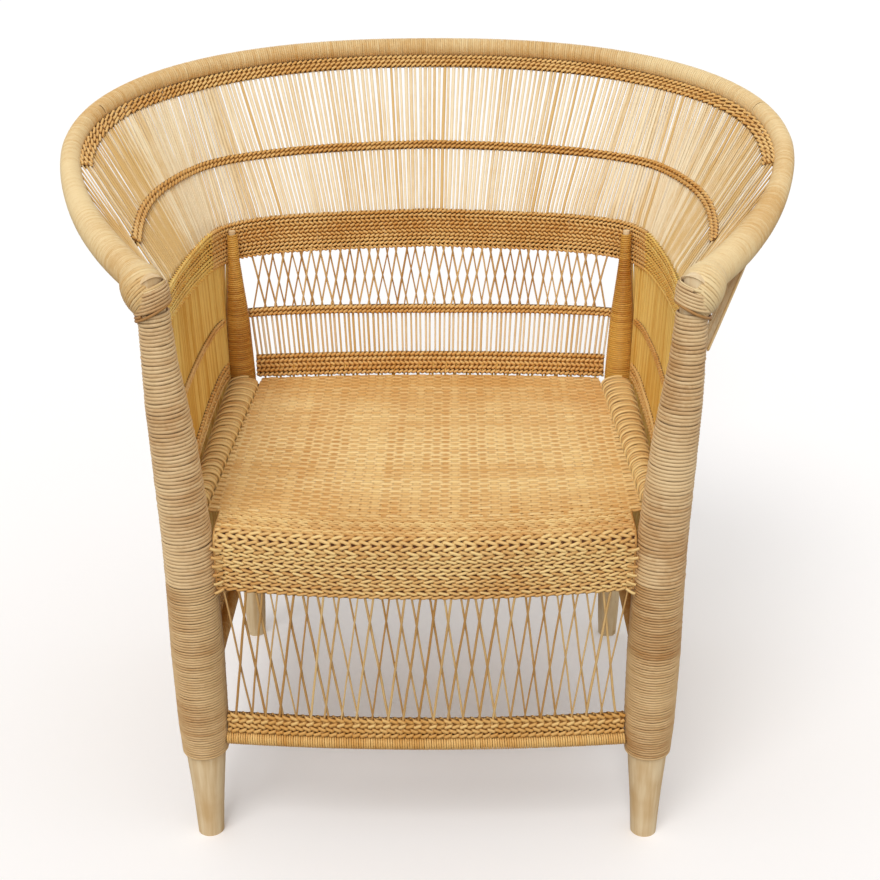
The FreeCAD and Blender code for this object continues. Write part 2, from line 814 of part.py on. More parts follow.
def crossed_canes(wall, half_width, low, high, pitch, spread):
    """Pairs of canes that cross in two layers: each cane runs one pair further and ends beside it."""
    count = int((2 * half_width - spread - 2 * cross_cane) / pitch) + 1
    canes = []
    for number in range(count):
        middle = pitch * (number - (count - 1) / 2)
        for way in (-1, 1):
            if not 0 <= number + way < count:
                continue
            top = wall(middle - way * spread / 2, high)
            foot = wall(middle + way * (pitch + spread / 2), low)
            shift = Vector(0, way * cross_offset, 0)
            canes.append(rod(foot + shift, top + shift, cross_cane))
    return canes


def even_places(half_width, pitch):
    count = int(half_width / pitch)
    return [pitch * number for number in range(-count, count + 1)]


seat_level = size("wall_seat_height")
row_rise = size("lumbar_band_height") / LUMBAR_ROWS
back_foot = size("side_lower_height") - size("side_foot_drop")
node(group(crossed_canes(back_wall, size("waist_half_width"), size("waist_height") + gap,
                         size("lumbar_corner_height") - size("lumbar_band_height") / 2 + row_rise,
                         size("back_cross_pitch"),
                         size("back_cross_spread"))), "back_crossed_canes")
outward = Vector(0, cross_half - cane_half, 0)
splay = size("waist_half_width") / size("wall_half_width")
uprights = []
for x in even_places(size("wall_half_width") - cane, size("back_cane_pitch")):
    foot = back_wall(x, seat_level + gap) + outward
    uprights.append(rod(foot, back_wall(x * splay, size("waist_height") - gap) + outward, cane))
node(group(uprights), "back_canes")
node(group(crossed_canes(back_skirt, size("wall_half_width"), back_foot, seat_level - gap,
                         size("front_cross_pitch"), size("front_cross_spread"))), "back_skirt_canes")
front_foot = size("front_lower_height") + lower_roll + gap
apron_foot = size("apron_bottom") - gap
front_wall_half = min(front_inside(size("arm_height") * rise) for rise, _, _ in FRONT_POST_SHARES) - gap
node(group(crossed_canes(front_wall, front_wall_half, front_foot, apron_foot,
                         size("front_cross_pitch"), size("front_cross_spread"))), "front_crossed_canes")

side_wall_front = front_radius(size("side_lower_height")) + size("post_wrap") + 2 * gap + cane
side_count = int((size("side_wall_rear") - side_wall_front) / size("side_cane_pitch"))
side_depths = [side_wall_front + size("side_cane_pitch") * number for number in range(side_count + 1)]
corner_count = int((size("side_corner_rear") - side_depths[-1]) / size("side_cane_pitch"))
corner_depths = [side_depths[-1] + size("side_cane_pitch") * (number + 1) for number in range(corner_count)]
for word, side in SIDES:
    canes = []
    for y in side_depths:
        top = lumbar_ring.at(side * lumbar_ring.place_at_depth(y)) - Vector(0, 0, gap)
        foot = side_wall(side, y, size("side_lower_height") - size("side_foot_drop"))
        canes.append(rod(foot, top, cane))
    for y in corner_depths:
        canes.append(rod(corner_wall(side, y, corner_foot), corner_top(side, y), cane))
    node(group(canes), f"side_canes_{word}")


# Crown: canes that stand in the lumbar band, bend at its top edge and flare out to the top rail


def lumbar_station(place):
    """The lumbar band's middle at a place, its up and outward directions and its height."""
    point = lumbar_ring.at(place)
    along = lumbar_ring.along(place)
    out = along.cross(Vector(0, 0, 1)).normalize()
    up = out.cross(along).normalize()
    ahead = max(size("lumbar_rise_from") - point.y, 0.0) / size("lumbar_rise_from")
    return point, up, out, size("lumbar_band_height") - size("lumbar_band_narrowing") * ahead


def crown_foot(place):
    """The middle of the lumbar band's top edge, where the crown's canes bend."""
    point, up, _, height = lumbar_station(place)
    return point + up * (height / 2)


def lean_place(place):
    """The place of the top rail that a crown cane reaches: near the arms the canes lean back."""
    past = max(abs(place) - LEAN_FROM_SHARE, 0.0)
    return math.copysign(abs(place) - LEAN_SHARE * past ** LEAN_POWER, place)


def under_rail(place, way, half_width):
    """Where a piece that runs along way up to the top rail's wrap ends, a joint gap below it."""
    rail = rail_ring.at(place)
    cosine = abs(way.dot(rail_ring.along(place)))
    sine = math.sqrt(1 - cosine * cosine)
    return rail - way * ((rail_roll(rail) + gap + half_width * cosine) / sine)


def crown_cane(place):
    point, up, _, _ = lumbar_station(place)
    bend = crown_foot(place)
    way = (rail_ring.at(lean_place(place)) - bend).normalize()
    half_turn = up.getAngle(way) / 2
    reach = size("crown_bend") * math.tan(half_turn)
    inside = (way - up).normalize() * size("crown_bend") * (1 / math.cos(half_turn) - 1)
    start = point + up * gap
    arc_start = bend - up * reach
    arc_end = bend + way * reach
    end = under_rail(lean_place(place), way, cane)
    path = Part.Wire([Part.makeLine(start, arc_start),
                      Part.Arc(arc_start, bend + inside, arc_end).toShape(),
                      Part.makeLine(arc_end, end)])
    ring = Part.Wire(Part.makeCircle(cane, start, up))
    return path.makePipeShell([ring], True, False)


def crown_step(place):
    """How far along the ring the next cane stands, so that leaning canes clear each other."""
    pitch = size("crown_cane_pitch")
    step = pitch / lumbar_ring.length
    way = (rail_ring.at(lean_place(place)) - crown_foot(place)).normalize()
    spread = (lean_place(place + step) - lean_place(place)) * rail_ring.length
    at_foot = pitch * math.sin(way.getAngle(lumbar_ring.along(place)))
    at_rail = spread * math.sin(way.getAngle(rail_ring.along(lean_place(place))))
    return step * max(1.0, size("crown_cane_clear") / min(at_foot, at_rail))


right_places = [crown_step(0.0)]
while right_places[-1] + crown_step(right_places[-1]) < CROWN_REACH_SHARE:
    right_places.append(right_places[-1] + crown_step(right_places[-1]))
corner_place = lumbar_ring.place_at_depth(size("rear_line") - size("rear_girth"))
crown = {"left": [], "back": [], "right": []}
for place in [-place for place in reversed(right_places)] + [0.0] + right_places:
    part = "back" if abs(place) < corner_place else ("left" if place < 0 else "right")
    crown[part].append(crown_cane(place))
for part, canes in crown.items():
    node(group(canes), f"crown_canes_{part}")

# A few more canes fan from the outer side of the right front post back to the rail
level = size("arm_cane_height")
reach = front_radius(level) + gap + size("post_wrap") + gap + cane
arm_canes = []
for number in range(ARM_CANES):
    share = number / (ARM_CANES - 1)
    angle = math.radians(ARM_CANE_ANGLE + ARM_CANE_SPREAD * share)
    foot = Vector(front_axis(level) + reach * math.cos(angle), reach * math.sin(angle), level)
    place = between(ARM_CANE_FRONT_SHARE, ARM_CANE_REAR_SHARE, share)
    way = (rail_ring.at(place) - foot).normalize()
    arm_canes.append(rod(foot, under_rail(place, way, cane), cane))
node(group(arm_canes), "arm_canes")


# Bands: an inner and an outer half of weft with the canes between them, one bulge for each row


def half_band(stations, rows, half_gap, face):
    sections = []
    for centre, up, out, height in stations:
        low = centre - up * (height / 2)
        step = height / rows
        flat = out * (face * half_gap)
        valley = out * (face * (half_gap + ply * VALLEY_SHARE))
        crest = out * (face * (half_gap + ply))
        edges = [Part.makeLine(low + up * height + valley, low + up * height + flat),
                 Part.makeLine(low + up * height + flat, low + flat),
                 Part.makeLine(low + flat, low + valley)]
        for row in range(rows):
            start = low + up * (row * step)
            edges.append(Part.Arc(start + valley, start + up * (step / 2) + crest,
                                  start + up * step + valley).toShape())
        sections.append(Part.Wire(edges))
    return Part.makeLoft(sections, True, False)


def band(stations, rows, half_gap):
    return group([half_band(stations, rows, half_gap, face) for face in (-1, 1)])


def wall_stations(wall, ends, level, height, count):
    """Stations across a wall, with the band's up and outward directions."""
    step = size("row_pitch")
    stations = []
    for number in range(count + 1):
        place = between(ends[0], ends[1], number / count)
        point = wall(place, level(place))
        up = (wall(place, level(place) + step) - point).normalize()
        ahead = wall(place + step, level(place + step)) - wall(place - step, level(place - step))
        out = up.cross(ahead).normalize()
        stations.append((point, up, out, height(place)))
    return stations


def flat_level(level):
    return lambda place: level


BACK_STEPS = 12
half = size("waist_half_width")
stations = wall_stations(back_wall, (-half, half), flat_level(size("waist_height")),
                         flat_level(size("waist_band")), BACK_STEPS)
node(band(stations, WAIST_ROWS, cross_half), "back_waist_band")
half = size("wall_half_width")
stations = wall_stations(back_wall, (-half, half), flat_level(seat_level),
                         flat_level(size("wall_seat_band")), BACK_STEPS)
node(band(stations, WALL_SEAT_ROWS, cross_half), "back_seat_band")
lower_level = size("side_lower_height") + lower_roll + gap + size("lower_band_height") / 2
stations = wall_stations(back_skirt, (-half, half), flat_level(lower_level),
                         flat_level(size("lower_band_height")), BACK_STEPS)
node(band(stations, LOWER_ROWS, cross_half), "lower_band_back")
lower_level = size("front_lower_height") + lower_roll + gap + size("lower_band_height") / 2
half = front_inside(lower_level) - gap
stations = wall_stations(front_wall, (-half, half), flat_level(lower_level),
                         flat_level(size("lower_band_height")), BACK_STEPS)
node(band(stations, LOWER_ROWS, cross_half), "lower_band_front")


def waist_level(y):
    """The side waist band climbs from the rear post towards the front post."""
    share = (size("side_wall_rear") - y) / size("side_wall_rear")
    return size("waist_height") + size("waist_rise") * share


SIDE_STEPS = 10
CORNER_STEPS = 3
for word, side in SIDES:
    ends = (side_depths[0] - cane, side_depths[-1] + cane)

    def wall(y, z, side=side):
        return side_wall(side, y, z)

    def corner(y, z, side=side):
        return corner_wall(side, y, z)

    level = size("side_lower_height") + lower_roll + gap + size("lower_band_height") / 2
    stations = wall_stations(wall, ends, flat_level(level),
                             flat_level(size("lower_band_height")), SIDE_STEPS)
    node(band(stations, LOWER_ROWS, cane_half), f"lower_band_{word}")
    stations = wall_stations(wall, ends, flat_level(size("side_seat_band_height")),
                             flat_level(size("side_seat_band")), SIDE_STEPS)
    corner_ends = (corner_depths[0], corner_depths[-1] + cane)
    stations += wall_stations(corner, corner_ends, flat_level(size("side_seat_band_height")),
                              flat_level(size("side_seat_band")), CORNER_STEPS)
    node(band(stations, SIDE_SEAT_ROWS, cane_half), f"side_seat_band_{word}")
    stations = wall_stations(wall, ends, waist_level, flat_level(size("side_waist_band")), SIDE_STEPS)
    node(band(stations, WAIST_ROWS, cane_half), f"side_waist_band_{word}")


def crown_station(place, middle_of, height):
    """A crown band's middle at a place, its up and outward directions and its height."""
    step = size("crown_cane_pitch") / lumbar_ring.length
    along = (middle_of(place + step) - middle_of(place - step)).normalize()
    way = rail_ring.at(lean_place(place)) - crown_foot(place)
    out = along.cross(way).normalize()
    return middle_of(place), out.cross(along).normalize(), out, height


def mid_middle(place):
    drop = MID_BAND_DROP_SHARE * max(abs(place) - MID_BAND_DROP_FROM_SHARE, 0.0) ** 2
    return between(crown_foot(place), rail_ring.at(lean_place(place)), MID_BAND_SHARE - drop)


def top_middle(place):
    way = (rail_ring.at(lean_place(place)) - crown_foot(place)).normalize()
    sine = math.sin(way.getAngle(rail_ring.along(lean_place(place))))
    return under_rail(lean_place(place), way, 0) - way * (size("top_band") / 2 / sine)


def ring_places(reach):
    """Places from the left arm round the back to the right arm."""
    steps = 48
    return [reach * (2 * step / steps - 1) for step in range(steps + 1)]


mid = [crown_station(place, mid_middle, size("mid_band")) for place in ring_places(MID_BAND_REACH_SHARE)]
node(band(mid, MID_ROWS, cane_half), "mid_band")
top = [crown_station(place, top_middle, size("top_band")) for place in ring_places(TOP_BAND_REACH_SHARE)]
node(band(top, TOP_ROWS, cane_half), "top_band")

lumbar_whole = doc.addObject("Part::Feature", "lumbar_whole")
lumbar_whole.Shape = band([lumbar_station(place) for place in ring_places(1.0)], LUMBAR_ROWS, cross_half)
lumbar_whole.Placement = Placement(Vector(0, front_line, 0), Rotation())
notches = [rear_post_loft(f"lumbar_notch_{word}", side, f"2 * {wrap_gap} + Sizes.rear_wrap", 0.5)
           for word, side in SIDES]
keep(cut("lumbar_band", lumbar_whole, notches), "lumbar_band")


# Arm lashings: one strand wound round the top of each front post's wrap


def lash_point(side, turns):
    """The strand's middle after a number of turns that rise inwards, on the tapering post."""
    level = size("lash_low") + size("lash_pitch") * turns
    reach = front_radius(level) + gap + size("post_wrap") + gap + size("lash_radius")
    angle = 2 * math.pi * turns
    outward = reach * math.cos(angle)
    return Vector(side * (front_axis(level) + outward), reach * math.sin(angle),
                  level - LASH_TILT_SHARE * outward)


def biarc(start, start_way, end, end_way):
    """Two arcs that meet smoothly and leave both ends along their given ways."""
    chord = end - start
    ways = start_way + end_way
    slant = chord.dot(ways)
    spread = 2 * (1 - start_way.dot(end_way))
    reach = (-slant + math.sqrt(slant * slant + spread * chord.dot(chord))) / spread
    middle = (start + end + (start_way - end_way) * reach) / 2
    arcs = []
    for first, way, last in ((start, start_way, middle), (end, end_way * -1, middle)):
        span = last - first
        normal = way.cross(span).cross(way).normalize()
        radius = span.dot(span) / (2 * span.dot(normal))
        centre = first + normal * radius
        bulge = ((first + last) / 2 - centre).normalize() * radius + centre
        arcs.append(Part.Arc(first, bulge, last).toShape())
    return arcs


def lashing(side):
    quarters = 4 * LASH_TURNS
    nudge_share = 1 / 720
    points = []
    for quarter in range(quarters + 1):
        turns = quarter / 4
        way = lash_point(side, turns + nudge_share) - lash_point(side, turns - nudge_share)
        points.append((lash_point(side, turns), way.normalize()))
    tail = 2 * size("lash_radius")
    edges = [Part.makeLine(points[0][0] - points[0][1] * tail, points[0][0])]
    for (start, start_way), (end, end_way) in zip(points, points[1:]):
        edges.extend(biarc(start, start_way, end, end_way))
    edges.append(Part.makeLine(points[-1][0], points[-1][0] + points[-1][1] * tail))
    path = Part.Wire(edges)
    ring = Part.Wire(Part.makeCircle(size("lash_radius"), points[0][0] - points[0][1] * tail, points[0][1]))
    return path.makePipeShell([ring], True, False)


def lash_gap(side):
    """The least gap between the strand's turns, measured on points."""
    steps = 90
    points = [lash_point(side, number / steps) for number in range(LASH_TURNS * steps + 1)]
    apart = min((points[first] - points[second]).Length
                for first in range(len(points)) for second in range(first + steps // 2, len(points)))
    return apart - 2 * size("lash_radius")


for word, side in SIDES:
    node(lashing(side), f"arm_lashing_{word}")
    print(f"lashing {word}: least gap between turns {lash_gap(side):.2f} mm")

doc.recompute()
os.makedirs("parts", exist_ok=True)
for piece in doc.Objects:
    if "Invalid" in piece.State or "Error" in piece.State:
        raise RuntimeError(f"{piece.Name} failed")
for piece in nodes:
    shape = piece.Shape
    if shape.isNull() or not shape.isValid() or not shape.Solids:
        raise RuntimeError(f"{piece.Label} has no valid solid")
for piece in nodes:
    piece.Shape.exportStep(f"parts/{piece.Label}.step")
print(f"{len(nodes)} nodes, {sum(len(piece.Shape.Solids) for piece in nodes)} solids")
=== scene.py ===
# %% [markdown]
# # A cane armchair
# Four poles carry the chair, one bent rail runs from arm to arm round the back, and thin canes fill the
# walls. Nearly all that shows is cane: wound round a pole, twined in bands, or standing in rows. So the
# lesson builds three Geometry Nodes trees, one for each of these, and every piece is a set of guide
# lines that one of the trees turns into strands. All sizes are in metres.

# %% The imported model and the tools
import math
import random

import bpy
from mathutils import Matrix, Vector


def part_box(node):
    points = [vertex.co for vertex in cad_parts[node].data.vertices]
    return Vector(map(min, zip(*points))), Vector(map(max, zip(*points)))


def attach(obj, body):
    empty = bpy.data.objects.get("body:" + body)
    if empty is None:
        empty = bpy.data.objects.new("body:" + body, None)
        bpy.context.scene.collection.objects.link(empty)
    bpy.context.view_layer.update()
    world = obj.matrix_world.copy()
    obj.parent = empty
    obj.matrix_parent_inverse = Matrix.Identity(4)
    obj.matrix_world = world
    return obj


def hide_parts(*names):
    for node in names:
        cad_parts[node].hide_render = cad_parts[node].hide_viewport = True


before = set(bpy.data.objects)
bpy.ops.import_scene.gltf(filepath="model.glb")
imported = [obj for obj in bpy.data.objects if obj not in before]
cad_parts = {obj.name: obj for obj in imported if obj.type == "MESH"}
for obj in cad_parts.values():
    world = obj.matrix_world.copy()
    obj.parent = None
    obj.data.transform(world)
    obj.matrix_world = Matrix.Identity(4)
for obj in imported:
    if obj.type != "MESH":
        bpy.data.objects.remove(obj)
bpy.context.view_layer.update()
print(len(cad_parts), "nodes in the packed model")

# %% [markdown]
# ## Where things are
# Every guide line follows the frame of the chair. The posts give the line that all depths are counted
# from, and the two rings, the top rail and the lumbar band, follow the same curves as the solid model:
# straight flaring sides and a rounded back.

# %% Sizes that the walls and rings follow
post_low, post_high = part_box("front_post_left")
FRONT = (post_low.y + post_high.y) / 2
JOINT = 0.0003
ARM_HEIGHT = 0.655
FOOT_X = 0.250
ARM_LEAN = 0.0185
FRONT_GIRTH = 0.0258
REAR_LINE = 0.443
REAR_HEIGHT = 0.592
REAR_X = 0.251
REAR_NOD = 0.006
REAR_GIRTH = 0.0173
RAIL_X, RAIL_DEPTH, RAIL_WIDEST, RAIL_RISE = 0.418, 0.605, 0.350, 0.140
RAIL_ARM, RAIL_BACK = 0.0142, 0.009
LUMBAR_X, LUMBAR_FRONT, LUMBAR_WIDEST, LUMBAR_DEPTH = 0.279, 0.023, 0.300, 0.488
LUMBAR_FLARE = 0.020
LUMBAR_CORNER, LUMBAR_BACK_RISE, LUMBAR_ARM_RISE, LUMBAR_RISE_FROM = 0.573, 0.010, 0.050, 0.420
LUMBAR_BAND, LUMBAR_NARROWING = 0.051, 0.017
FRONT_POST_SHARES = (
    (0.0, 0.0, 0.566), (0.09, -0.03, 0.7), (0.17, -0.05, 0.862), (0.225, -0.05, 0.95), (0.37, -0.02, 1.0),
    (0.47, 0.0, 0.961), (0.57, 0.07, 0.911), (0.67, 0.28, 0.845), (0.74, 0.43, 0.8), (0.81, 0.64, 0.71),
    (0.88, 0.82, 0.58), (0.945, 0.91, 0.51), (1.0, 1.0, 0.485), (1.06, 1.07, 0.475),
)
REAR_POST_SHARES = (
    (0.0, 0.0, 0.711), (0.12, 0.0, 0.885), (0.3, 0.0, 0.96), (0.5, 0.0, 1.0), (0.66, 0.0, 0.983),
    (0.8, 0.15, 0.76), (0.88, 0.5, 0.48), (0.945, 0.85, 0.28), (1.0, 1.0, 0.24),
)
UP, AHEAD, BEHIND = Vector((0, 0, 1)), Vector((0, -1, 0)), Vector((0, 1, 0))
SIDES = (("left", -1), ("right", 1))
print(f"front posts' line at y {FRONT:.4f}, rear posts' line {REAR_LINE} behind it")

# %% [markdown]
# A few small helpers do the arithmetic: a value between two others, evenly spaced values and points, an
# eased share, and a look into a post's table.

# %% Helpers for shares
def between(low, high, share):
    return low + (high - low) * share


def spread(low, high, steps):
    """Evenly spaced values from low to high."""
    return [between(low, high, step / steps) for step in range(steps + 1)]


def straight(start, end, steps):
    """Evenly spaced points on the straight line between two points."""
    return [start.lerp(end, step / steps) for step in range(steps + 1)]


def smooth(share):
    """A share that starts and ends gently, kept between 0 and 1."""
    share = min(max(share, 0.0), 1.0)
    return share * share * (3 - 2 * share)


def table_at(shares, rise, column):
    """A column of a post's table at a share of its height, eased between the rows."""
    for low, high in zip(shares, shares[1:]):
        if rise <= high[0]:
            return between(low[column], high[column], (rise - low[0]) / (high[0] - low[0]))
    return shares[-1][column]


# %% [markdown]
# A ring is a list of closely spaced points from the left arm round the back to the right arm. A place on
# it runs from -1 at the left arm through 0 at the middle of the back to 1 at the right arm, so a cane
# can join the same place of two rings.

# %% Rings
class Ring:
    def __init__(self, plan, height):
        self.points = [Vector((x, y, height(x, y))) for x, y in plan]
        self.runs = [0.0]
        for last, point in zip(self.points, self.points[1:]):
            self.runs.append(self.runs[-1] + (point - last).length)
        self.length = self.runs[-1]

    def at(self, place):
        run = (1 - min(abs(place), 1.0)) * self.length
        low, high = 0, len(self.runs) - 1
        while high - low > 1:
            middle = (low + high) // 2
            if self.runs[middle] <= run:
                low = middle
            else:
                high = middle
        share = (run - self.runs[low]) / (self.runs[high] - self.runs[low])
        point = self.points[low].lerp(self.points[high], share)
        return Vector((math.copysign(point.x, place), point.y, point.z))

    def along(self, place):
        step = 0.004 / self.length
        return (self.at(min(place + step, 1.0)) - self.at(max(place - step, -1.0))).normalized()

    def place_at_depth(self, y):
        for run, point in zip(self.runs, self.points):
            if point.y >= y:
                return 1 - run / self.length
        return 0.0

    def place_at_width(self, x):
        for run, point in zip(reversed(self.runs), reversed(self.points)):
            if point.x >= x:
                return 1 - run / self.length
        return 1.0


# %% [markdown]
# Both rings follow one rule seen from above, a flaring side and then a rounded quarter of the back, and
# each has its own rise: the rail climbs towards the back, the lumbar band towards the arms.

# %% The top rail's ring and the lumbar band's ring
def half_plan(half_width, widest, depth, flare, flare_power, round_power, front):
    """Half an outline seen from above: a flaring side, then a rounded quarter of the back."""
    steps = 120
    corner = 0.5 ** (1 / round_power)
    points = []
    for step in range(steps):
        y = between(front, widest, step / steps)
        points.append((half_width - flare * ((widest - y) / widest) ** flare_power, y))
    for step in range(steps):
        reach = corner * step / steps
        x = half_width * (1 - reach ** round_power) ** (1 / round_power)
        points.append((x, between(widest, depth, reach)))
    for step in range(steps + 1):
        reach = corner * (1 - step / steps)
        y = between(widest, depth, (1 - reach ** round_power) ** (1 / round_power))
        points.append((half_width * reach, y))
    return points


def rail_height(x, y):
    return ARM_HEIGHT + RAIL_RISE * (max(y, 0.0) / RAIL_DEPTH) ** 1.3


def lumbar_height(x, y):
    inward = 1 - abs(x) / LUMBAR_X
    ahead = max(LUMBAR_RISE_FROM - y, 0.0) / (LUMBAR_RISE_FROM - LUMBAR_FRONT)
    return LUMBAR_CORNER + LUMBAR_BACK_RISE * inward + LUMBAR_ARM_RISE * ahead ** 1.25


rail_ring = Ring(half_plan(RAIL_X, RAIL_WIDEST, RAIL_DEPTH, RAIL_X - FOOT_X - ARM_LEAN, 1.65, 2.3, 0.0),
                 rail_height)
lumbar_ring = Ring(half_plan(LUMBAR_X, LUMBAR_WIDEST, LUMBAR_DEPTH, LUMBAR_FLARE, 1.6, 4.8, LUMBAR_FRONT),
                   lumbar_height)
print(f"top rail {2 * rail_ring.length:.3f} m long, lumbar band {2 * lumbar_ring.length:.3f} m")

# %% [markdown]
# ## From guide lines to strands
# A guide line is a chain of mesh edges. Each of its points carries attributes that the trees read: which
# way is outwards, how thick the strand is there, and a shade between 0 and 1 that the finish turns into
# a lighter or darker cane. Edges are used because a mesh can hold such attributes, which a curve object
# can't.

# %% Guide lines
FRONT_SHIFT = Vector((0, FRONT, 0))


class Guides:
    """Guide lines gathered for one piece. Points are counted from the front posts' line."""

    def __init__(self, name):
        self.name = name
        self.points, self.edges = [], []
        self.values = {key: [] for key in ("out", "reach", "tall", "thick", "shade", "phase", "lean")}

    def add(self, points, out, reach=0.0, tall=None, thick=1.0, shade=0.5, phase=0.0, lean=0.0):
        """One line; out and the numbers are one value, or one for each point."""
        start = len(self.points)
        self.points.extend(point + FRONT_SHIFT for point in points)
        self.edges.extend((start + step, start + step + 1) for step in range(len(points) - 1))
        given = {"out": out, "reach": reach, "tall": reach if tall is None else tall, "thick": thick,
                 "shade": shade, "phase": phase, "lean": lean}
        for key, value in given.items():
            self.values[key].extend(value if isinstance(value, list) else [value] * len(points))

    def mesh(self):
        mesh = bpy.data.meshes.new(self.name)
        mesh.from_pydata(self.points, self.edges, [])
        for key, values in self.values.items():
            if key == "out":
                data = mesh.attributes.new(key, "FLOAT_VECTOR", "POINT").data
                data.foreach_set("vector", [number for vector in values for number in vector])
            else:
                mesh.attributes.new(key, "FLOAT", "POINT").data.foreach_set("value", values)
        return mesh


# %% [markdown]
# The next helper adds nodes to a tree. An input is given by its name, as a number, a colour or another
# node's output, which keeps the trees below short enough to read.

# %% A small helper for node trees
class Nodes:
    def __init__(self, tree):
        self.tree = tree

    def feed(self, socket, value):
        if isinstance(value, bpy.types.Node):
            value = value.outputs[0]
        if isinstance(value, bpy.types.NodeSocket):
            self.tree.links.new(value, socket)
        else:
            socket.default_value = value

    def add(self, kind, given=None, **settings):
        made = self.tree.nodes.new(kind)
        for key, value in settings.items():
            setattr(made, key, value)
        for key, value in (given or {}).items():
            self.feed(made.inputs[key], value)
        return made

    def math(self, operation, first, second=0.0, third=0.0):
        return self.add("ShaderNodeMath", {0: first, 1: second, 2: third}, operation=operation)

    def vector(self, operation, first, second=(0.0, 0.0, 0.0)):
        return self.add("ShaderNodeVectorMath", {0: first, 1: second}, operation=operation)

    def scaled(self, vector, factor):
        return self.add("ShaderNodeVectorMath", {0: vector, "Scale": factor}, operation="SCALE")

    def total(self, *vectors):
        result = vectors[0]
        for vector in vectors[1:]:
            result = self.vector("ADD", result, vector)
        return result

    def combine(self, x=0.0, y=0.0, z=0.0):
        return self.add("ShaderNodeCombineXYZ", {"X": x, "Y": y, "Z": z})

    def store(self, geometry, name, value, kind="FLOAT"):
        return self.add("GeometryNodeStoreNamedAttribute",
                        {"Geometry": geometry, "Name": name, "Value": value}, data_type=kind)


def new_tree(name, inputs):
    """A Geometry Nodes tree with a Geometry input, the named inputs and a Geometry output."""
    tree = bpy.data.node_groups.new(name, "GeometryNodeTree")
    tree.interface.new_socket("Geometry", in_out="INPUT", socket_type="NodeSocketGeometry")
    for key, kind, value in inputs:
        socket = tree.interface.new_socket(key, in_out="INPUT", socket_type=kind)
        if value is not None:
            socket.default_value = value
    tree.interface.new_socket("Geometry", in_out="OUTPUT", socket_type="NodeSocketGeometry")
    nodes = Nodes(tree)
    return nodes, nodes.add("NodeGroupInput")


def attribute(nodes, name, vector=False):
    kind = "FLOAT_VECTOR" if vector else "FLOAT"
    return nodes.add("GeometryNodeInputNamedAttribute", {"Name": name}, data_type=kind)


# %% [markdown]
# Each tree ends in the same way. The line gets its outward direction as its normal, so that a flat strip
# lies flat on what it covers, and a flattened circle runs along it. The strip's own measures are kept as
# attributes for the finish: run, the way along it in metres, face, 1 on its outer side and -1 underneath,
# and hid, 1 where the strand dips behind the canes.

# %% The end that all three trees share
STRAND_INPUTS = (("Width", "NodeSocketFloat", 0.003), ("Thickness", "NodeSocketFloat", 0.002),
                 ("Sides", "NodeSocketInt", 6), ("Seed", "NodeSocketInt", 0),
                 ("Material", "NodeSocketMaterial", None))


def sweep(nodes, inputs, line, normal, both_faces=False):
    """Run a flattened circle along the line, keep its measures, and give it its material."""
    line = nodes.add("GeometryNodeSetCurveNormal", {"Curve": line, "Normal": normal}, mode="FREE")
    run = nodes.add("GeometryNodeSplineParameter")
    line = nodes.store(line, "run", run.outputs["Length"])
    ring = nodes.add("GeometryNodeCurvePrimitiveCircle",
                     {"Resolution": inputs.outputs["Sides"], "Radius": 1.0})
    place = nodes.add("ShaderNodeSeparateXYZ", {0: nodes.add("GeometryNodeInputPosition")})
    face = nodes.math("ABSOLUTE", place.outputs["X"]) if both_faces else place.outputs["X"]
    ring = nodes.store(ring, "face", face)
    half_width = nodes.math("MULTIPLY", inputs.outputs["Width"], 0.5)
    half_thick = nodes.math("MULTIPLY", inputs.outputs["Thickness"], 0.5)
    flat = nodes.combine(half_thick, half_width, 1.0)
    ring = nodes.add("GeometryNodeTransform", {"Geometry": ring, "Scale": flat})
    mesh = nodes.add("GeometryNodeCurveToMesh",
                     {"Curve": line, "Profile Curve": ring, "Scale": attribute(nodes, "thick"),
                      "Fill Caps": True})
    mesh = nodes.add("GeometryNodeSetShadeSmooth", {"Geometry": mesh})
    mesh = nodes.add("GeometryNodeRealizeInstances", {"Geometry": mesh})
    mesh = nodes.add("GeometryNodeSetMaterial", {"Geometry": mesh, "Material": inputs.outputs["Material"]})
    nodes.add("NodeGroupOutput", {0: mesh})


def guide_curve(nodes, inputs, step):
    """The guide lines as curves with a point at every step."""
    line = nodes.add("GeometryNodeMeshToCurve", {"Mesh": inputs.outputs["Geometry"]})
    return nodes.add("GeometryNodeResampleCurve", {"Curve": line, "Length": step}, mode="LENGTH")


def noise_at(nodes, vector, scale, seed, detail=1.0):
    """Noise from -1 to 1 at a place, moved by the seed."""
    shift = nodes.combine(z=nodes.math("MULTIPLY", seed, 3.7))
    noise = nodes.add("ShaderNodeTexNoise",
                      {"Vector": nodes.vector("ADD", vector, shift), "Scale": scale, "Detail": detail})
    return nodes.math("MULTIPLY_ADD", noise.outputs[0], 2.0, -1.0)


# %% [markdown]
# **Laying.** A standing cane follows its guide line, but no cane is straight: the tree pushes it a little
# to and fro with noise that changes slowly along it.

# %% The tree that lays canes
def laying_tree():
    nodes, inputs = new_tree("Laying", STRAND_INPUTS + (("Spacing", "NodeSocketFloat", 0.02),
                                                       ("Wobble", "NodeSocketFloat", 0.0005)))
    line = guide_curve(nodes, inputs, inputs.outputs["Spacing"])
    place = nodes.add("GeometryNodeInputPosition")
    own = nodes.combine(nodes.math("MULTIPLY", attribute(nodes, "shade"), 9.0))
    spot = nodes.vector("ADD", place, own)
    seed = inputs.outputs["Seed"]
    aside = nodes.combine(noise_at(nodes, spot, 14.0, seed), noise_at(nodes, spot, 17.0, seed))
    line = nodes.add("GeometryNodeSetPosition",
                     {"Geometry": line, "Offset": nodes.scaled(aside, inputs.outputs["Wobble"])})
    line = nodes.store(line, "hid", 0.0)
    sweep(nodes, inputs, line, attribute(nodes, "out", True), both_faces=True)
    return nodes.tree


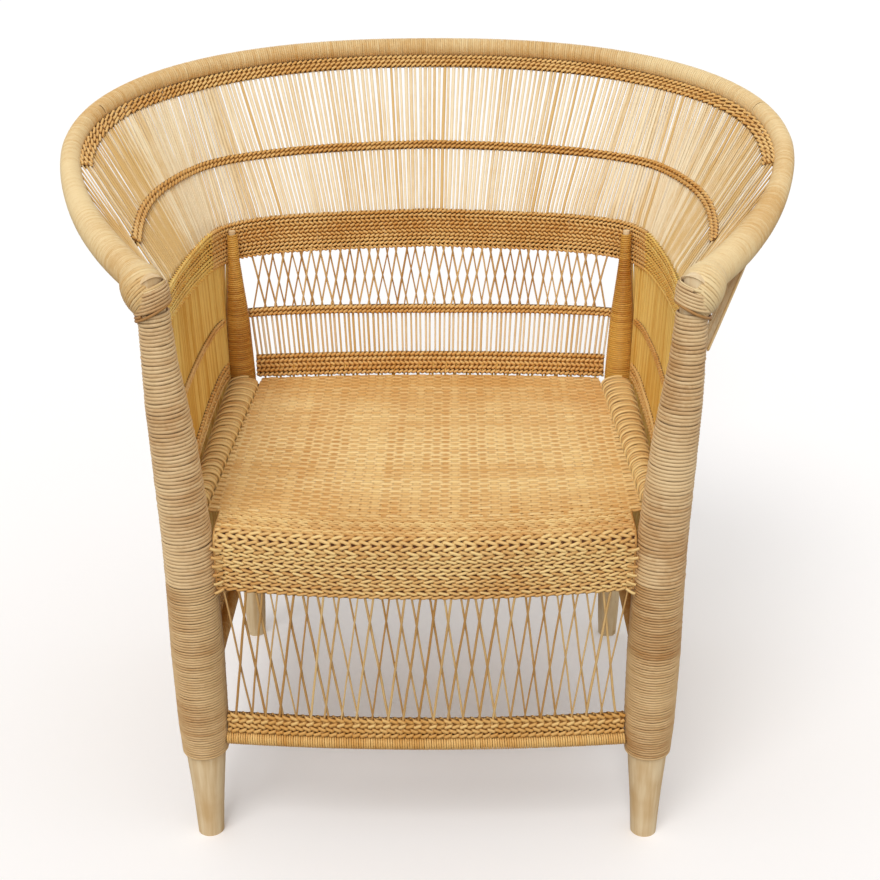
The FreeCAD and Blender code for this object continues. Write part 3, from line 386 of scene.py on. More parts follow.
# %% [markdown]
# **Winding.** A wrap is one strand wound round a pole. The tree walks along the pole's middle line, turns
# once for each pitch, and stands off by the pole's radius. A real wrap isn't even: noise lifts some turns
# and lets others slip, so the light catches them one by one.

# %% The tree that winds a strand round a pole
def winding_tree():
    nodes, inputs = new_tree("Winding", STRAND_INPUTS + (("Pitch", "NodeSocketFloat", 0.003),
                                                        ("Steps", "NodeSocketInt", 20),
                                                        ("Lift", "NodeSocketFloat", 0.0003),
                                                        ("Slip", "NodeSocketFloat", 0.0004)))
    steps = inputs.outputs["Steps"]
    line = guide_curve(nodes, inputs, nodes.math("DIVIDE", inputs.outputs["Pitch"], steps))
    turns = nodes.math("DIVIDE", nodes.add("GeometryNodeSplineParameter").outputs["Index"], steps)
    angle = nodes.math("MULTIPLY_ADD", turns, 2 * math.pi, attribute(nodes, "phase"))
    way = nodes.add("GeometryNodeInputTangent")
    first = attribute(nodes, "out", True)
    second = nodes.vector("NORMALIZE", nodes.vector("CROSS_PRODUCT", way, first))
    first = nodes.vector("NORMALIZE", nodes.vector("CROSS_PRODUCT", second, way))
    seed = inputs.outputs["Seed"]
    cosine, sine = nodes.math("COSINE", angle), nodes.math("SINE", angle)
    spot = nodes.combine(turns, cosine, sine)
    lift = nodes.math("MULTIPLY", noise_at(nodes, spot, 0.9, seed), inputs.outputs["Lift"])
    slip = nodes.math("MULTIPLY", noise_at(nodes, spot, 0.6, nodes.math("ADD", seed, 5.0)),
                      inputs.outputs["Slip"])
    stand = nodes.math("MULTIPLY_ADD", inputs.outputs["Thickness"], 0.5, lift)
    across = nodes.math("MULTIPLY", cosine, nodes.math("ADD", attribute(nodes, "reach"), stand))
    over = nodes.math("MULTIPLY", sine, nodes.math("ADD", attribute(nodes, "tall"), stand))
    radial = nodes.total(nodes.scaled(first, across), nodes.scaled(second, over))
    outward = nodes.vector("NORMALIZE", radial)
    slant = nodes.math("MULTIPLY_ADD", attribute(nodes, "lean"), across, slip)
    offset = nodes.total(radial, nodes.scaled(way, slant))
    line = nodes.store(line, "outward", outward, "FLOAT_VECTOR")
    line = nodes.store(line, "hid", 0.0)
    mood = noise_at(nodes, nodes.combine(turns), 0.55, seed, 3.0)
    line = nodes.store(line, "shade", nodes.math("MULTIPLY_ADD", mood, 0.5, attribute(nodes, "shade")))
    line = nodes.add("GeometryNodeSetPosition", {"Geometry": line, "Offset": offset})
    sweep(nodes, inputs, line, attribute(nodes, "outward", True))
    return nodes.tree


# %% [markdown]
# **Weaving.** A weft strand passes in front of one cane and behind the next. The tree moves it outwards
# and inwards once for every two canes, and it stays in front for longer than behind. A twined row has two
# such strands half a wave apart, which rise and fall past each other, so that the row looks like a rope
# laid along the wall.

# %% The tree that weaves and twines
def weaving_tree():
    nodes, inputs = new_tree("Weaving", STRAND_INPUTS + (("Pitch", "NodeSocketFloat", 0.006),
                                                        ("Steps", "NodeSocketInt", 4),
                                                        ("Depth", "NodeSocketFloat", 0.003),
                                                        ("Rise", "NodeSocketFloat", 0.0013),
                                                        ("Unevenness", "NodeSocketFloat", 0.0004)))
    pitch = inputs.outputs["Pitch"]
    line = guide_curve(nodes, inputs, nodes.math("DIVIDE", pitch, inputs.outputs["Steps"]))
    run = nodes.add("GeometryNodeSplineParameter").outputs["Length"]
    seed = inputs.outputs["Seed"]
    place = nodes.add("GeometryNodeInputPosition")
    drift = nodes.math("MULTIPLY", noise_at(nodes, place, 9.0, seed), 0.8)
    wave = nodes.math("MULTIPLY_ADD", nodes.math("DIVIDE", run, pitch), math.pi,
                      nodes.math("ADD", attribute(nodes, "phase"), drift))
    out = nodes.vector("NORMALIZE", attribute(nodes, "out", True))
    way = nodes.add("GeometryNodeInputTangent")
    up = nodes.vector("NORMALIZE", nodes.vector("CROSS_PRODUCT", out, way))
    front = nodes.math("MULTIPLY_ADD", nodes.math("COSINE", wave), 1.5, 0.6)
    front = nodes.math("MAXIMUM", nodes.math("MINIMUM", front, 1.0), -1.0)
    rising = nodes.math("MULTIPLY", nodes.math("SINE", wave), attribute(nodes, "lean"))
    uneven = inputs.outputs["Unevenness"]
    forth = nodes.math("MULTIPLY_ADD", noise_at(nodes, place, 60.0, seed), uneven,
                       nodes.math("MULTIPLY", front, inputs.outputs["Depth"]))
    lift = nodes.math("MULTIPLY_ADD", noise_at(nodes, place, 45.0, nodes.math("ADD", seed, 3.0)), uneven,
                      nodes.math("MULTIPLY", rising, inputs.outputs["Rise"]))
    offset = nodes.total(nodes.scaled(out, forth), nodes.scaled(up, lift))
    hid = nodes.math("SUBTRACT", 1.0, nodes.math("ABSOLUTE", front))
    line = nodes.store(line, "hid", hid)
    line = nodes.add("GeometryNodeSetPosition", {"Geometry": line, "Offset": offset})
    sweep(nodes, inputs, line, attribute(nodes, "out", True), both_faces=True)
    return nodes.tree


LAYING = laying_tree()
WINDING = winding_tree()
WEAVING = weaving_tree()
print("nodes in the trees:", [len(tree.nodes) for tree in (LAYING, WINDING, WEAVING)])


# %% [markdown]
# A tree works as a modifier on the guide mesh. Its inputs are set by their identifiers, the result is
# turned into a plain mesh, and the modifier is dropped. The piece is then told which body carries it, and
# the solids that it stands for are hidden. Its finish comes in through the tree's Material input.

# %% Making a piece from its guides
made_faces = {}


def strands(guides, tree, material, slot, stands_for=(), **sizes):
    """Run a tree over the guides; sizes are the tree's inputs by name."""
    guide = bpy.data.objects.new(guides.name + "_guide", guides.mesh())
    bpy.context.scene.collection.objects.link(guide)
    modifier = guide.modifiers.new("strands", "NODES")
    modifier.node_group = tree
    named = {item.name: item.identifier for item in tree.interface.items_tree if item.in_out == "INPUT"}
    modifier[named["Material"]] = material
    for key, value in sizes.items():
        modifier[named[key]] = value
    guide.update_tag()
    graph = bpy.context.evaluated_depsgraph_get()
    mesh = bpy.data.meshes.new_from_object(guide.evaluated_get(graph))
    mesh.name = guides.name
    piece = bpy.data.objects.new(guides.name, mesh)
    bpy.context.scene.collection.objects.link(piece)
    bpy.data.objects.remove(guide)
    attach(piece, "root")
    if stands_for:
        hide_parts(*stands_for)
    made_faces[piece.name] = len(piece.data.polygons)
    print(piece.name, "has", made_faces[piece.name], "faces")


def wound(name, points, reach, material, slot, stands_for=(), out=UP, shade=0.5, lean=0.0, tall=None,
          **sizes):
    """A piece that is one strand wound along a line."""
    guides = Guides(name)
    guides.add(points, out, reach, tall, shade=shade, lean=lean)
    strands(guides, WINDING, material, slot, stands_for, **sizes)


# %% [markdown]
# ## Finishes
# Split cane keeps a satin skin. It is cream where it was well scraped and straw to honey elsewhere. Where
# strands meet and pass under each other, brown painted shade darkens it. One shader group makes that colour
# for every finish, from the attributes that the trees left on the strands.

# %% Helpers for colours and materials
def srgb(red, green, blue):
    """A colour as it looks on screen, turned into the light values that a shader works in."""
    return tuple(value / 12.92 if value <= 0.04045 else ((value + 0.055) / 1.055) ** 2.4
                 for value in (red, green, blue)) + (1.0,)


def shader_group(name, inputs, outputs):
    tree = bpy.data.node_groups.new(name, "ShaderNodeTree")
    for key, kind, value in inputs:
        socket = tree.interface.new_socket(key, in_out="INPUT", socket_type=kind)
        socket.default_value = value
    for key, kind in outputs:
        tree.interface.new_socket(key, in_out="OUTPUT", socket_type=kind)
    nodes = Nodes(tree)
    return nodes, nodes.add("NodeGroupInput")


def mixed(nodes, factor, first, second):
    """The first colour where the factor is 0, the second where it is 1."""
    made = nodes.add("ShaderNodeMix", {"Factor": factor}, data_type="RGBA")
    colours = [socket for socket in made.inputs if socket.type == "RGBA"]
    nodes.feed(colours[0], first)
    nodes.feed(colours[1], second)
    return [socket for socket in made.outputs if socket.type == "RGBA"][0]


def new_material(name):
    material = bpy.data.materials.new(name)
    material.use_nodes = True
    return material, Nodes(material.node_tree), material.node_tree.nodes["Principled BSDF"]


def ramped(nodes, value, low, high):
    """0 below low, 1 above high, and a smooth rise between them."""
    made = nodes.add("ShaderNodeMapRange", {"Value": value, "From Min": low, "From Max": high},
                     interpolation_type="SMOOTHSTEP")
    return made.outputs[0]


# %% [markdown]
# The group adds three things to the tone that a cane's shade value gives: wide patches, fine streaks
# along the strand, and painted shade, a dark colour where the strand turns under or hides behind the canes.

# %% The group that colours cane
def cane_colour_group():
    nodes, inputs = shader_group("Cane colour", (
        ("Pale", "NodeSocketColor", srgb(0.95, 0.87, 0.68)), ("Deep", "NodeSocketColor", srgb(0.8, 0.6, 0.3)),
        ("Painted shade", "NodeSocketColor", srgb(0.36, 0.17, 0.05)), ("Shade", "NodeSocketFloat", 0.5),
        ("Run", "NodeSocketFloat", 0.0), ("Face", "NodeSocketFloat", 1.0), ("Hidden", "NodeSocketFloat", 0.0),
        ("Patch scale", "NodeSocketFloat", 9.0), ("Patches", "NodeSocketFloat", 0.5),
        ("Painted shade depth", "NodeSocketFloat", 0.7)),
        (("Color", "NodeSocketColor"), ("Fibre", "NodeSocketFloat")))
    given = inputs.outputs
    place = nodes.add("ShaderNodeTexCoord").outputs["Object"]
    patch = nodes.add("ShaderNodeTexNoise", {"Vector": place, "Scale": given["Patch scale"], "Detail": 2.0})
    swing = nodes.math("MULTIPLY", nodes.math("SUBTRACT", patch.outputs[0], 0.5), given["Patches"])
    along = nodes.combine(*(nodes.math("MULTIPLY", given[key], scale)
                            for key, scale in (("Run", 60.0), ("Shade", 90.0), ("Face", 2.0))))
    fibre = nodes.add("ShaderNodeTexNoise", {"Vector": along, "Scale": 1.0, "Detail": 3.0})
    streak = nodes.math("MULTIPLY", nodes.math("SUBTRACT", fibre.outputs[0], 0.5), 0.7)
    depth = nodes.math("ADD", nodes.math("ADD", given["Shade"], nodes.math("MULTIPLY", swing, 2.0)), streak)
    colour = mixed(nodes, ramped(nodes, depth, 0.0, 1.0), given["Pale"], given["Deep"])
    # Painted shade: the edges and underside of a strand, and where it dips behind the canes, turn dark.
    edge = ramped(nodes, nodes.math("MULTIPLY", given["Face"], -1.0), -0.75, 0.25)
    back = ramped(nodes, given["Hidden"], 0.35, 0.9)
    dark = nodes.math("MULTIPLY", nodes.math("MAXIMUM", edge, back), given["Painted shade depth"])
    colour = mixed(nodes, dark, colour, given["Painted shade"])
    nodes.add("NodeGroupOutput", {0: colour, 1: fibre.outputs[0]})
    return nodes.tree


CANE_COLOUR = cane_colour_group()
print("cane colour group:", len(CANE_COLOUR.interface.items_tree), "sockets")


# %% [markdown]
# A finish is one material. It places the group with its own colours, feeds it the strand's attributes and
# adds a fine bump from the fibres. The satin skin is a roughness a little under a half.

# %% Cane finishes
def cane_finish(name, pale, deep, painted_shade_colour, roughness=0.45, patch_scale=9.0, patches=0.5, painted_shade_depth=0.7):
    material, nodes, shader = new_material(name)
    read = {key: nodes.add("ShaderNodeAttribute", attribute_name=key).outputs["Fac"]
            for key in ("shade", "run", "face", "hid")}
    colour = nodes.add("ShaderNodeGroup", node_tree=CANE_COLOUR)
    for key, value in (("Pale", srgb(*pale)), ("Deep", srgb(*deep)), ("Painted shade", srgb(*painted_shade_colour)),
                       ("Shade", read["shade"]), ("Run", read["run"]), ("Face", read["face"]),
                       ("Hidden", read["hid"]), ("Patch scale", patch_scale), ("Patches", patches),
                       ("Painted shade depth", painted_shade_depth)):
        nodes.feed(colour.inputs[key], value)
    nodes.feed(shader.inputs["Base Color"], colour.outputs["Color"])
    rough = nodes.math("MULTIPLY_ADD", colour.outputs["Fibre"], 0.25, roughness - 0.12)
    nodes.feed(shader.inputs["Roughness"], rough)
    bump = nodes.add("ShaderNodeBump", {"Strength": 0.25, "Distance": 0.0004,
                                        "Height": colour.outputs["Fibre"]})
    nodes.feed(shader.inputs["Normal"], bump)
    shader.inputs["Specular IOR Level"].default_value = 0.35
    return material


# Each finish gives a pale and a deep colour of the cane, then the colour of its painted shade.
post_cane = cane_finish("post_cane", (0.90, 0.78, 0.59), (0.72, 0.53, 0.31), (0.40, 0.21, 0.08),
                        patch_scale=12.0, patches=0.7)
low_cane = cane_finish("low_cane", (0.88, 0.75, 0.55), (0.70, 0.51, 0.29), (0.38, 0.20, 0.07),
                       patches=0.8)
rear_cane = cane_finish("rear_cane", (0.90, 0.71, 0.34), (0.68, 0.43, 0.12), (0.40, 0.19, 0.04),
                        patch_scale=7.0, patches=0.8)
rail_cane = cane_finish("rail_cane", (0.94, 0.84, 0.64), (0.82, 0.63, 0.35), (0.50, 0.30, 0.12),
                        patch_scale=6.0, patches=0.8)
band_cane = cane_finish("band_cane", (0.95, 0.79, 0.51), (0.83, 0.60, 0.29), (0.36, 0.17, 0.05),
                        patch_scale=14.0, patches=0.6)
side_band_cane = cane_finish("side_band_cane", (1.0, 0.87, 0.50), (0.92, 0.70, 0.32), (0.42, 0.24, 0.06),
                             patch_scale=14.0, patches=0.6)
crown_cane = cane_finish("crown_cane", (0.97, 0.90, 0.76), (0.87, 0.72, 0.46), (0.62, 0.43, 0.22),
                         patch_scale=5.0, patches=0.6, painted_shade_depth=0.55)
side_cane = cane_finish("side_cane", (0.98, 0.85, 0.50), (0.85, 0.64, 0.26), (0.48, 0.29, 0.09),
                        patch_scale=6.0, patches=0.6, painted_shade_depth=0.5)
lattice_cane = cane_finish("lattice_cane", (0.90, 0.76, 0.52), (0.74, 0.55, 0.30), (0.45, 0.27, 0.10),
                           patch_scale=6.0, patches=0.6, painted_shade_depth=0.5)
seat_cane = cane_finish("seat_cane", (0.97, 0.84, 0.57), (0.82, 0.60, 0.32), (0.42, 0.22, 0.08),
                        patch_scale=10.0, patches=0.4, painted_shade_depth=0.6)
mat_cane = cane_finish("mat_cane", (0.98, 0.86, 0.61), (0.87, 0.67, 0.38), (0.58, 0.37, 0.16),
                       patch_scale=10.0, patches=0.35, painted_shade_depth=0.35)
# The next two finishes are painted shade: they colour dark sheets in the gaps between rows, where only shade
# falls.
painted_shade_cane = cane_finish("painted_shade_cane", (0.66, 0.46, 0.22), (0.54, 0.34, 0.13), (0.2, 0.08, 0.01),
                          roughness=0.8)
painted_maroon_shade_cane = cane_finish("painted_maroon_shade_cane", (0.52, 0.32, 0.20), (0.42, 0.23, 0.13), (0.2, 0.08, 0.02),
                          roughness=0.8)
print("cane finishes:", sum(material.name.endswith("_cane") for material in bpy.data.materials))

# %% [markdown]
# The feet are bare, pale wood. Wood has long grain along the pole, a few pores and small dark marks, so
# this finish stretches its noise along the height.

# %% Bare wood
def wood_finish(name, pale, deep, marks):
    material, nodes, shader = new_material(name)
    place = nodes.add("ShaderNodeTexCoord").outputs["Object"]
    grain_place = nodes.add("ShaderNodeMapping", {"Vector": place, "Scale": (160.0, 160.0, 7.0)})
    grain = nodes.add("ShaderNodeTexNoise", {"Vector": grain_place, "Scale": 1.0, "Detail": 4.0})
    patch = nodes.add("ShaderNodeTexNoise", {"Vector": place, "Scale": 22.0, "Detail": 2.0})
    mark_place = nodes.add("ShaderNodeMapping", {"Vector": place, "Scale": (90.0, 90.0, 40.0)})
    mark = nodes.add("ShaderNodeTexNoise", {"Vector": mark_place, "Scale": 1.0})
    tone = nodes.math("ADD", nodes.math("MULTIPLY", grain.outputs[0], 0.7),
                      nodes.math("MULTIPLY", patch.outputs[0], 0.5))
    colour = mixed(nodes, ramped(nodes, tone, 0.35, 0.85), srgb(*pale), srgb(*deep))
    colour = mixed(nodes, ramped(nodes, mark.outputs[0], 0.70, 0.80), colour, srgb(*marks))
    nodes.feed(shader.inputs["Base Color"], colour)
    nodes.feed(shader.inputs["Roughness"], nodes.math("MULTIPLY_ADD", grain.outputs[0], 0.3, 0.45))
    nodes.feed(shader.inputs["Normal"], nodes.add("ShaderNodeBump", {"Strength": 0.3, "Distance": 0.0005,
                                                                     "Height": grain.outputs[0]}))
    shader.inputs["Specular IOR Level"].default_value = 0.3
    return material


pale_wood = wood_finish("pale_wood", (0.95, 0.86, 0.70), (0.84, 0.70, 0.50), (0.52, 0.36, 0.20))
pole_wood = wood_finish("pole_wood", (0.62, 0.44, 0.22), (0.44, 0.28, 0.12), (0.24, 0.13, 0.05))


# %% [markdown]
# The bare posts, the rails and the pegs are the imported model's own solids. They only need a finish: pale
# wood where they show, a darker pole under the wraps.

# %% Dressing the bare solids
dressed = []


def dress(node_name, material):
    """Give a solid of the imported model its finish."""
    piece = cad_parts[node_name]
    piece.data.materials.clear()
    piece.data.materials.append(material)
    for slot in piece.material_slots:
        slot.material = material
    dressed.append(node_name)


for part in ("front_post", "rear_post", "arm_peg"):
    for word, side in SIDES:
        dress(f"{part}_{word}", pale_wood)
dress("top_rail", pale_wood)
for part in ("seat_rail", "lower_rail"):
    for word in ("front", "back", "left", "right"):
        dress(f"{part}_{word}", pole_wood)
print(len(dressed), "solids dressed in bare wood")

# %% [markdown]
# ## The posts' wraps
# Both front posts are wound from the top of the bare foot to the arm. The guide line is the post's own
# middle line, and reach is its radius there. The wrap is finer below the seat than above it, and finer
# still on the rear posts.

# %% Winding the posts
rng = random.Random(7)
FRONT_WRAP, FRONT_BARE, FRONT_FINE, FRONT_WOUND = 0.0034, 0.112, 0.330, 0.630
REAR_BARE, REAR_WOUND = 0.102, 0.588


def front_axis(level):
    return FOOT_X + ARM_LEAN * table_at(FRONT_POST_SHARES, level / ARM_HEIGHT, 1)


def front_radius(level):
    return FRONT_GIRTH * table_at(FRONT_POST_SHARES, level / ARM_HEIGHT, 2)


def front_inside(level):
    return front_axis(level) - front_radius(level) - JOINT - FRONT_WRAP


def rear_radius(level):
    return REAR_GIRTH * table_at(REAR_POST_SHARES, level / REAR_HEIGHT, 2)


def post_line(low, high, side, extra=JOINT, rear=False):
    """Middle points of a post and its radius there, from one height to another."""
    shares, height = (REAR_POST_SHARES, REAR_HEIGHT) if rear else (FRONT_POST_SHARES, ARM_HEIGHT)
    points, reach = [], []
    for z in spread(low, high, 40):
        lean = table_at(shares, z / height, 1)
        girth = table_at(shares, z / height, 2)
        if rear:
            points.append(Vector((side * REAR_X, REAR_LINE - REAR_NOD * lean, z)))
            reach.append(REAR_GIRTH * girth + extra)
        else:
            points.append(Vector((side * (FOOT_X + ARM_LEAN * lean), 0, z)))
            reach.append(FRONT_GIRTH * girth + extra)
    return points, reach


for word, side in SIDES:
    name = f"front_post_wrap_{word}"
    wound(name, *post_line(FRONT_FINE, FRONT_WOUND, side), post_cane, "cane_wrap", [name], BEHIND, 0.35,
          Width=0.0042, Thickness=FRONT_WRAP, Sides=8, Pitch=0.0040, Steps=22, Lift=0.0008, Slip=0.0011,
          Seed=3 + side)
    wound(name + "_lower", *post_line(FRONT_BARE, FRONT_FINE, side), low_cane, "cane_wrap", [], BEHIND, 0.4,
          Width=0.0031, Thickness=0.0032, Pitch=0.0032, Steps=22, Lift=0.0006, Slip=0.0007, Seed=13 + side)
    name = f"rear_post_wrap_{word}"
    wound(name, *post_line(REAR_BARE, REAR_WOUND, side, rear=True), rear_cane, "cane_wrap", [name], BEHIND,
          Width=0.0029, Thickness=0.0022, Pitch=0.0027, Steps=18, Lift=0.0002, Slip=0.0004, Seed=23 + side)

# %% [markdown]
# ## The top rail
# Fine strips of cane are wound round the bent rail. The rail is stout on the arms and thinner round the
# back, so reach falls from one to the other. At each end the winding bends down on to the front post.

# %% Winding the top rail
RAIL_WRAP = 0.0027


def rail_pole(point):
    return between(RAIL_ARM, RAIL_BACK, smooth((point.y - 0.080) / 0.210))


def rail_roll(point):
    return rail_pole(point) + JOINT + RAIL_WRAP


ARM_END, ARM_LEVEL, ARM_TILT, ARM_SWELL = 0.0235, 0.634, 0.30, 0.0060


def arm_turn(side):
    """The bend from the rail down onto the post: middle points, directions, radii and tilts."""
    start = rail_ring.at(side * rail_ring.place_at_depth(ARM_END))
    foot = Vector((side * front_axis(ARM_LEVEL), 0, ARM_LEVEL))
    stations = []
    for share in spread(0, 1, 16):
        angle = share * math.pi / 2
        point = Vector((between(start.x, foot.x, share), start.y * (1 - math.sin(angle)),
                        foot.z + (start.z - foot.z) * math.cos(angle)))
        reach = between(rail_pole(start), front_radius(ARM_LEVEL), share) + JOINT
        stations.append((point, Vector((-side, 0, 0)), reach + ARM_SWELL * math.sin(2 * angle),
                         -side * ARM_TILT * smooth(share)))
    return stations


def rail_stations(low, high):
    return [(rail_ring.at(place), rail_ring.along(place).cross(UP).normalized(),
             rail_pole(rail_ring.at(place)) + JOINT, 0.0) for place in spread(low, high, 60)]


arm_place = rail_ring.place_at_depth(ARM_END)
stations_of = {
    "left": rail_stations(-arm_place, -0.5), "back": rail_stations(-0.5, 0.5),
    "right": rail_stations(0.5, arm_place), "left_end": arm_turn(-1)[::-1], "right_end": arm_turn(1),
}
for word, stations in stations_of.items():
    points, outs, reach, tilts = (list(column) for column in zip(*stations))
    pitch, width = (0.0018, 0.0038) if word.endswith("end") else (0.0028, 0.0032)
    wound(f"top_rail_wrap_{word}", points, reach, rail_cane, "cane_wrap",
          ["top_rail_wrap"] if word == "back" else [], outs, 0.4, tilts, Width=width, Thickness=RAIL_WRAP,
          Pitch=pitch, Steps=18, Lift=0.0002, Slip=0.0004, Seed=31)

# %% [markdown]
# ## The lashing of the arms
# Thick strands bind each arm to its post. They are the same winding, tilted so that the turns rise
# towards the inside of the chair. Below them one last turn slants more, and above them a single uneven
# turn stands for the frayed ends.

# %% Lashing the arms
LAST_TURN, FRAYED_TURN = (0.6295, 0.6335), (0.6535, 0.6565)
for word, side in SIDES:
    name, outward = f"arm_lashing_{word}", Vector((side, 0, 0))
    points, reach = post_line(ARM_LEVEL, FRAYED_TURN[0], side, JOINT + 0.0030)
    reach = [value - 0.0012 * smooth((point.z - 0.646) / 0.008) for value, point in zip(reach, points)]
    wound(name, points, reach, post_cane, "lashing", [name], outward, 0.45, -ARM_TILT, Width=0.0035,
          Thickness=0.0035, Pitch=0.0034, Steps=24, Lift=0.0005, Slip=0.0006, Seed=41 + side)
    wound(name + "_last_turn", *post_line(*LAST_TURN, side, JOINT + 0.0032), low_cane, "lashing", [],
          outward, 1.1, -0.46, Width=0.0033, Thickness=0.0033, Pitch=0.0034, Steps=24, Lift=0.0004,
          Slip=0.0004, Seed=44 + side)
    wound(name + "_frayed", *post_line(*FRAYED_TURN, side, JOINT + 0.0014), rail_cane, "lashing", [],
          outward, 0.2, -ARM_TILT, Width=0.0040, Thickness=0.0018, Pitch=0.0020, Steps=40, Lift=0.0006,
          Slip=0.0014, Seed=47 + side)

# %% [markdown]
# ## The lumbar band
# Ten twined rows run from one front post behind the sitter to the other. Two strands make each row, and
# most rows are twined one way and every third or fourth the other, which gives the chevrons. A station
# of a band is its middle point there, its up, its outward direction and its height. Thin dark sheets in
# front of and behind the canes are painted shade for the gaps between the strands.

# %% Stations of the lumbar band and of the crown
BACK_PITCH, SIDE_TWINE = 0.0062, 0.0130
BACK_SHARE = 0.45
SLOWER_FROM, SLOWER_OVER = 0.42, 0.2
SHADE_SHEET_OFFSET = 0.0017


def lumbar_station(place):
    point = lumbar_ring.at(place)
    along = lumbar_ring.along(place)
    out = along.cross(UP).normalized()
    up = out.cross(along).normalized()
    ahead = max(LUMBAR_RISE_FROM - point.y, 0.0) / LUMBAR_RISE_FROM
    return point, up, out, LUMBAR_BAND - LUMBAR_NARROWING * ahead


def crown_foot(place):
    point, up, out, height = lumbar_station(place)
    return point + up * (height / 2)


# %% [markdown]
# Two strands half a wave apart make a row, and rows above each other make a band. On the sides the waves
# are longer, so a row that runs past the corner can change its phase little by little.

# %% Rows and bands
def twined_row(guides, points, outs, lean, slowed=None, thins=None):
    """Two strands half a wave apart along one row; slowed and thins hold a value for each point."""
    start = rng.uniform(0, 2 * math.pi)
    thins = thins or [1.0] * len(points)
    for phase in (0.0, math.pi):
        phases = [start + phase + change for change in slowed or [0.0] * len(points)]
        guides.add(points, outs, phase=phases, lean=[lean * thin for thin in thins], thick=thins,
                   shade=rng.uniform(0.25, 0.75))


def slower_waves(points, places, pitch, side_pitch):
    """Changes of phase that stretch the waves of a row towards its two ends."""
    phases = [0.0]
    for last, point, place in zip(points, points[1:], places[1:]):
        local = between(pitch, side_pitch, smooth((abs(place) - SLOWER_FROM) / SLOWER_OVER))
        phases.append(phases[-1] + math.pi * (point - last).length * (1 / local - 1 / pitch))
    return phases


def twined_band(name, stations, leans, material, stands_for, full, shade_sheet_finish=painted_shade_cane, slowed=None,
                shade_sheet_height=None, **sizes):
    """Rows twined over a band's height, each leaning its own way, and the dark sheets of painted shade behind
    them.
    """
    band, lining = Guides(name), Guides(name + "_painted_shade")
    outs = [out for point, up, out, height in stations]
    thins = [height / full for point, up, out, height in stations]
    for row, lean in enumerate(leans):
        share = (row + 0.5) / len(leans) - 0.5
        points = [point + up * (height * share) for point, up, out, height in stations]
        twined_row(band, points, outs, lean, slowed, thins)
    strands(band, WEAVING, material, "twined_bands", stands_for, Thickness=0.0028, Steps=6, Depth=0.0033,
            **sizes)
    # These sheets are painted shade: dark sheets just in front of and behind the canes, seen in the gaps
    # between rows.
    for side in (-1, 1):
        lining.add([point + out * (side * SHADE_SHEET_OFFSET) for point, up, out, height in stations], outs)
    strands(lining, LAYING, shade_sheet_finish, "twined_bands", [], Width=(shade_sheet_height or full) * 0.94,
            Thickness=0.0004, Sides=4, Spacing=0.008, Wobble=0.0, Seed=50)


# %% [markdown]
# The lumbar band is made in three pieces, because its sides are twined with paler and thinner strands.

# %% The lumbar band
LUMBAR_LEANS = (-1, 1, 1, 1, -1, 1, 1, -1, 1, 1)
for word, ends in (("left", (-1.0, -BACK_SHARE)), ("back", (-BACK_SHARE, BACK_SHARE)),
                   ("right", (BACK_SHARE, 1.0))):
    stations = [lumbar_station(place) for place in spread(*ends, 60)]
    if word == "back":
        twined_band("lumbar_band_back", stations, LUMBAR_LEANS, band_cane, ["lumbar_band"], LUMBAR_BAND,
                    Width=0.0035, Pitch=BACK_PITCH, Rise=0.0011, Unevenness=0.0003, Seed=51)
    else:
        twined_band(f"lumbar_band_{word}", stations, LUMBAR_LEANS, side_band_cane, ["lumbar_band"],
                    LUMBAR_BAND, painted_maroon_shade_cane, None, LUMBAR_BAND - LUMBAR_NARROWING, Width=0.0029,
                    Pitch=SIDE_TWINE, Rise=0.0011, Unevenness=0.0003, Seed=51)

# %% [markdown]
# ## The crown
# Canes stand in the lumbar band, bend at its top edge and flare out to the rail. Towards the arms they
# lean back more and more, and a fan of thinner canes fills the corner that this leaves at each front
# post. The mid band and the top band cross them.

# %% Canes of the crown
CROWN_PITCH, CROWN_CLEAR, CROWN_REACH = 0.0049, 0.0034, 0.965
LEAN_FROM, LEAN, LEAN_POWER = 0.28, 0.58, 1.25
BEND_IN = 0.004
ARM_FAN, FAN_REACH, FAN_EASE = 14, 0.86, 1.2


def under_rail(place, way):
    """Where a line that runs along way to a place of the rail meets the rail's wrap."""
    rail = rail_ring.at(place)
    cosine = abs(way.dot(rail_ring.along(place)))
    return rail - way * (rail_roll(rail) / math.sqrt(1 - cosine * cosine))


def lean_place(place):
    """The place of the rail that a crown cane reaches: near the arms the canes lean back."""
    past = max(abs(place) - LEAN_FROM, 0.0)
    return math.copysign(abs(place) - LEAN * past ** LEAN_POWER, place)


def crown_way(place):
    return (rail_ring.at(lean_place(place)) - crown_foot(place)).normalized()


def crown_step(place):
    """How far along the ring the next cane stands, so that leaning canes clear each other."""
    step = CROWN_PITCH / lumbar_ring.length
    way = crown_way(place)
    apart = (lean_place(place + step) - lean_place(place)) * rail_ring.length
    at_foot = CROWN_PITCH * math.sin(way.angle(lumbar_ring.along(place)))
    at_rail = apart * math.sin(way.angle(rail_ring.along(lean_place(place))))
    return step * max(1.0, CROWN_CLEAR / min(at_foot, at_rail))


# %% [markdown]
# The canes are placed one by one from the middle of the back outwards. Their random thickness and tint
# keep the crown from looking machine-made.

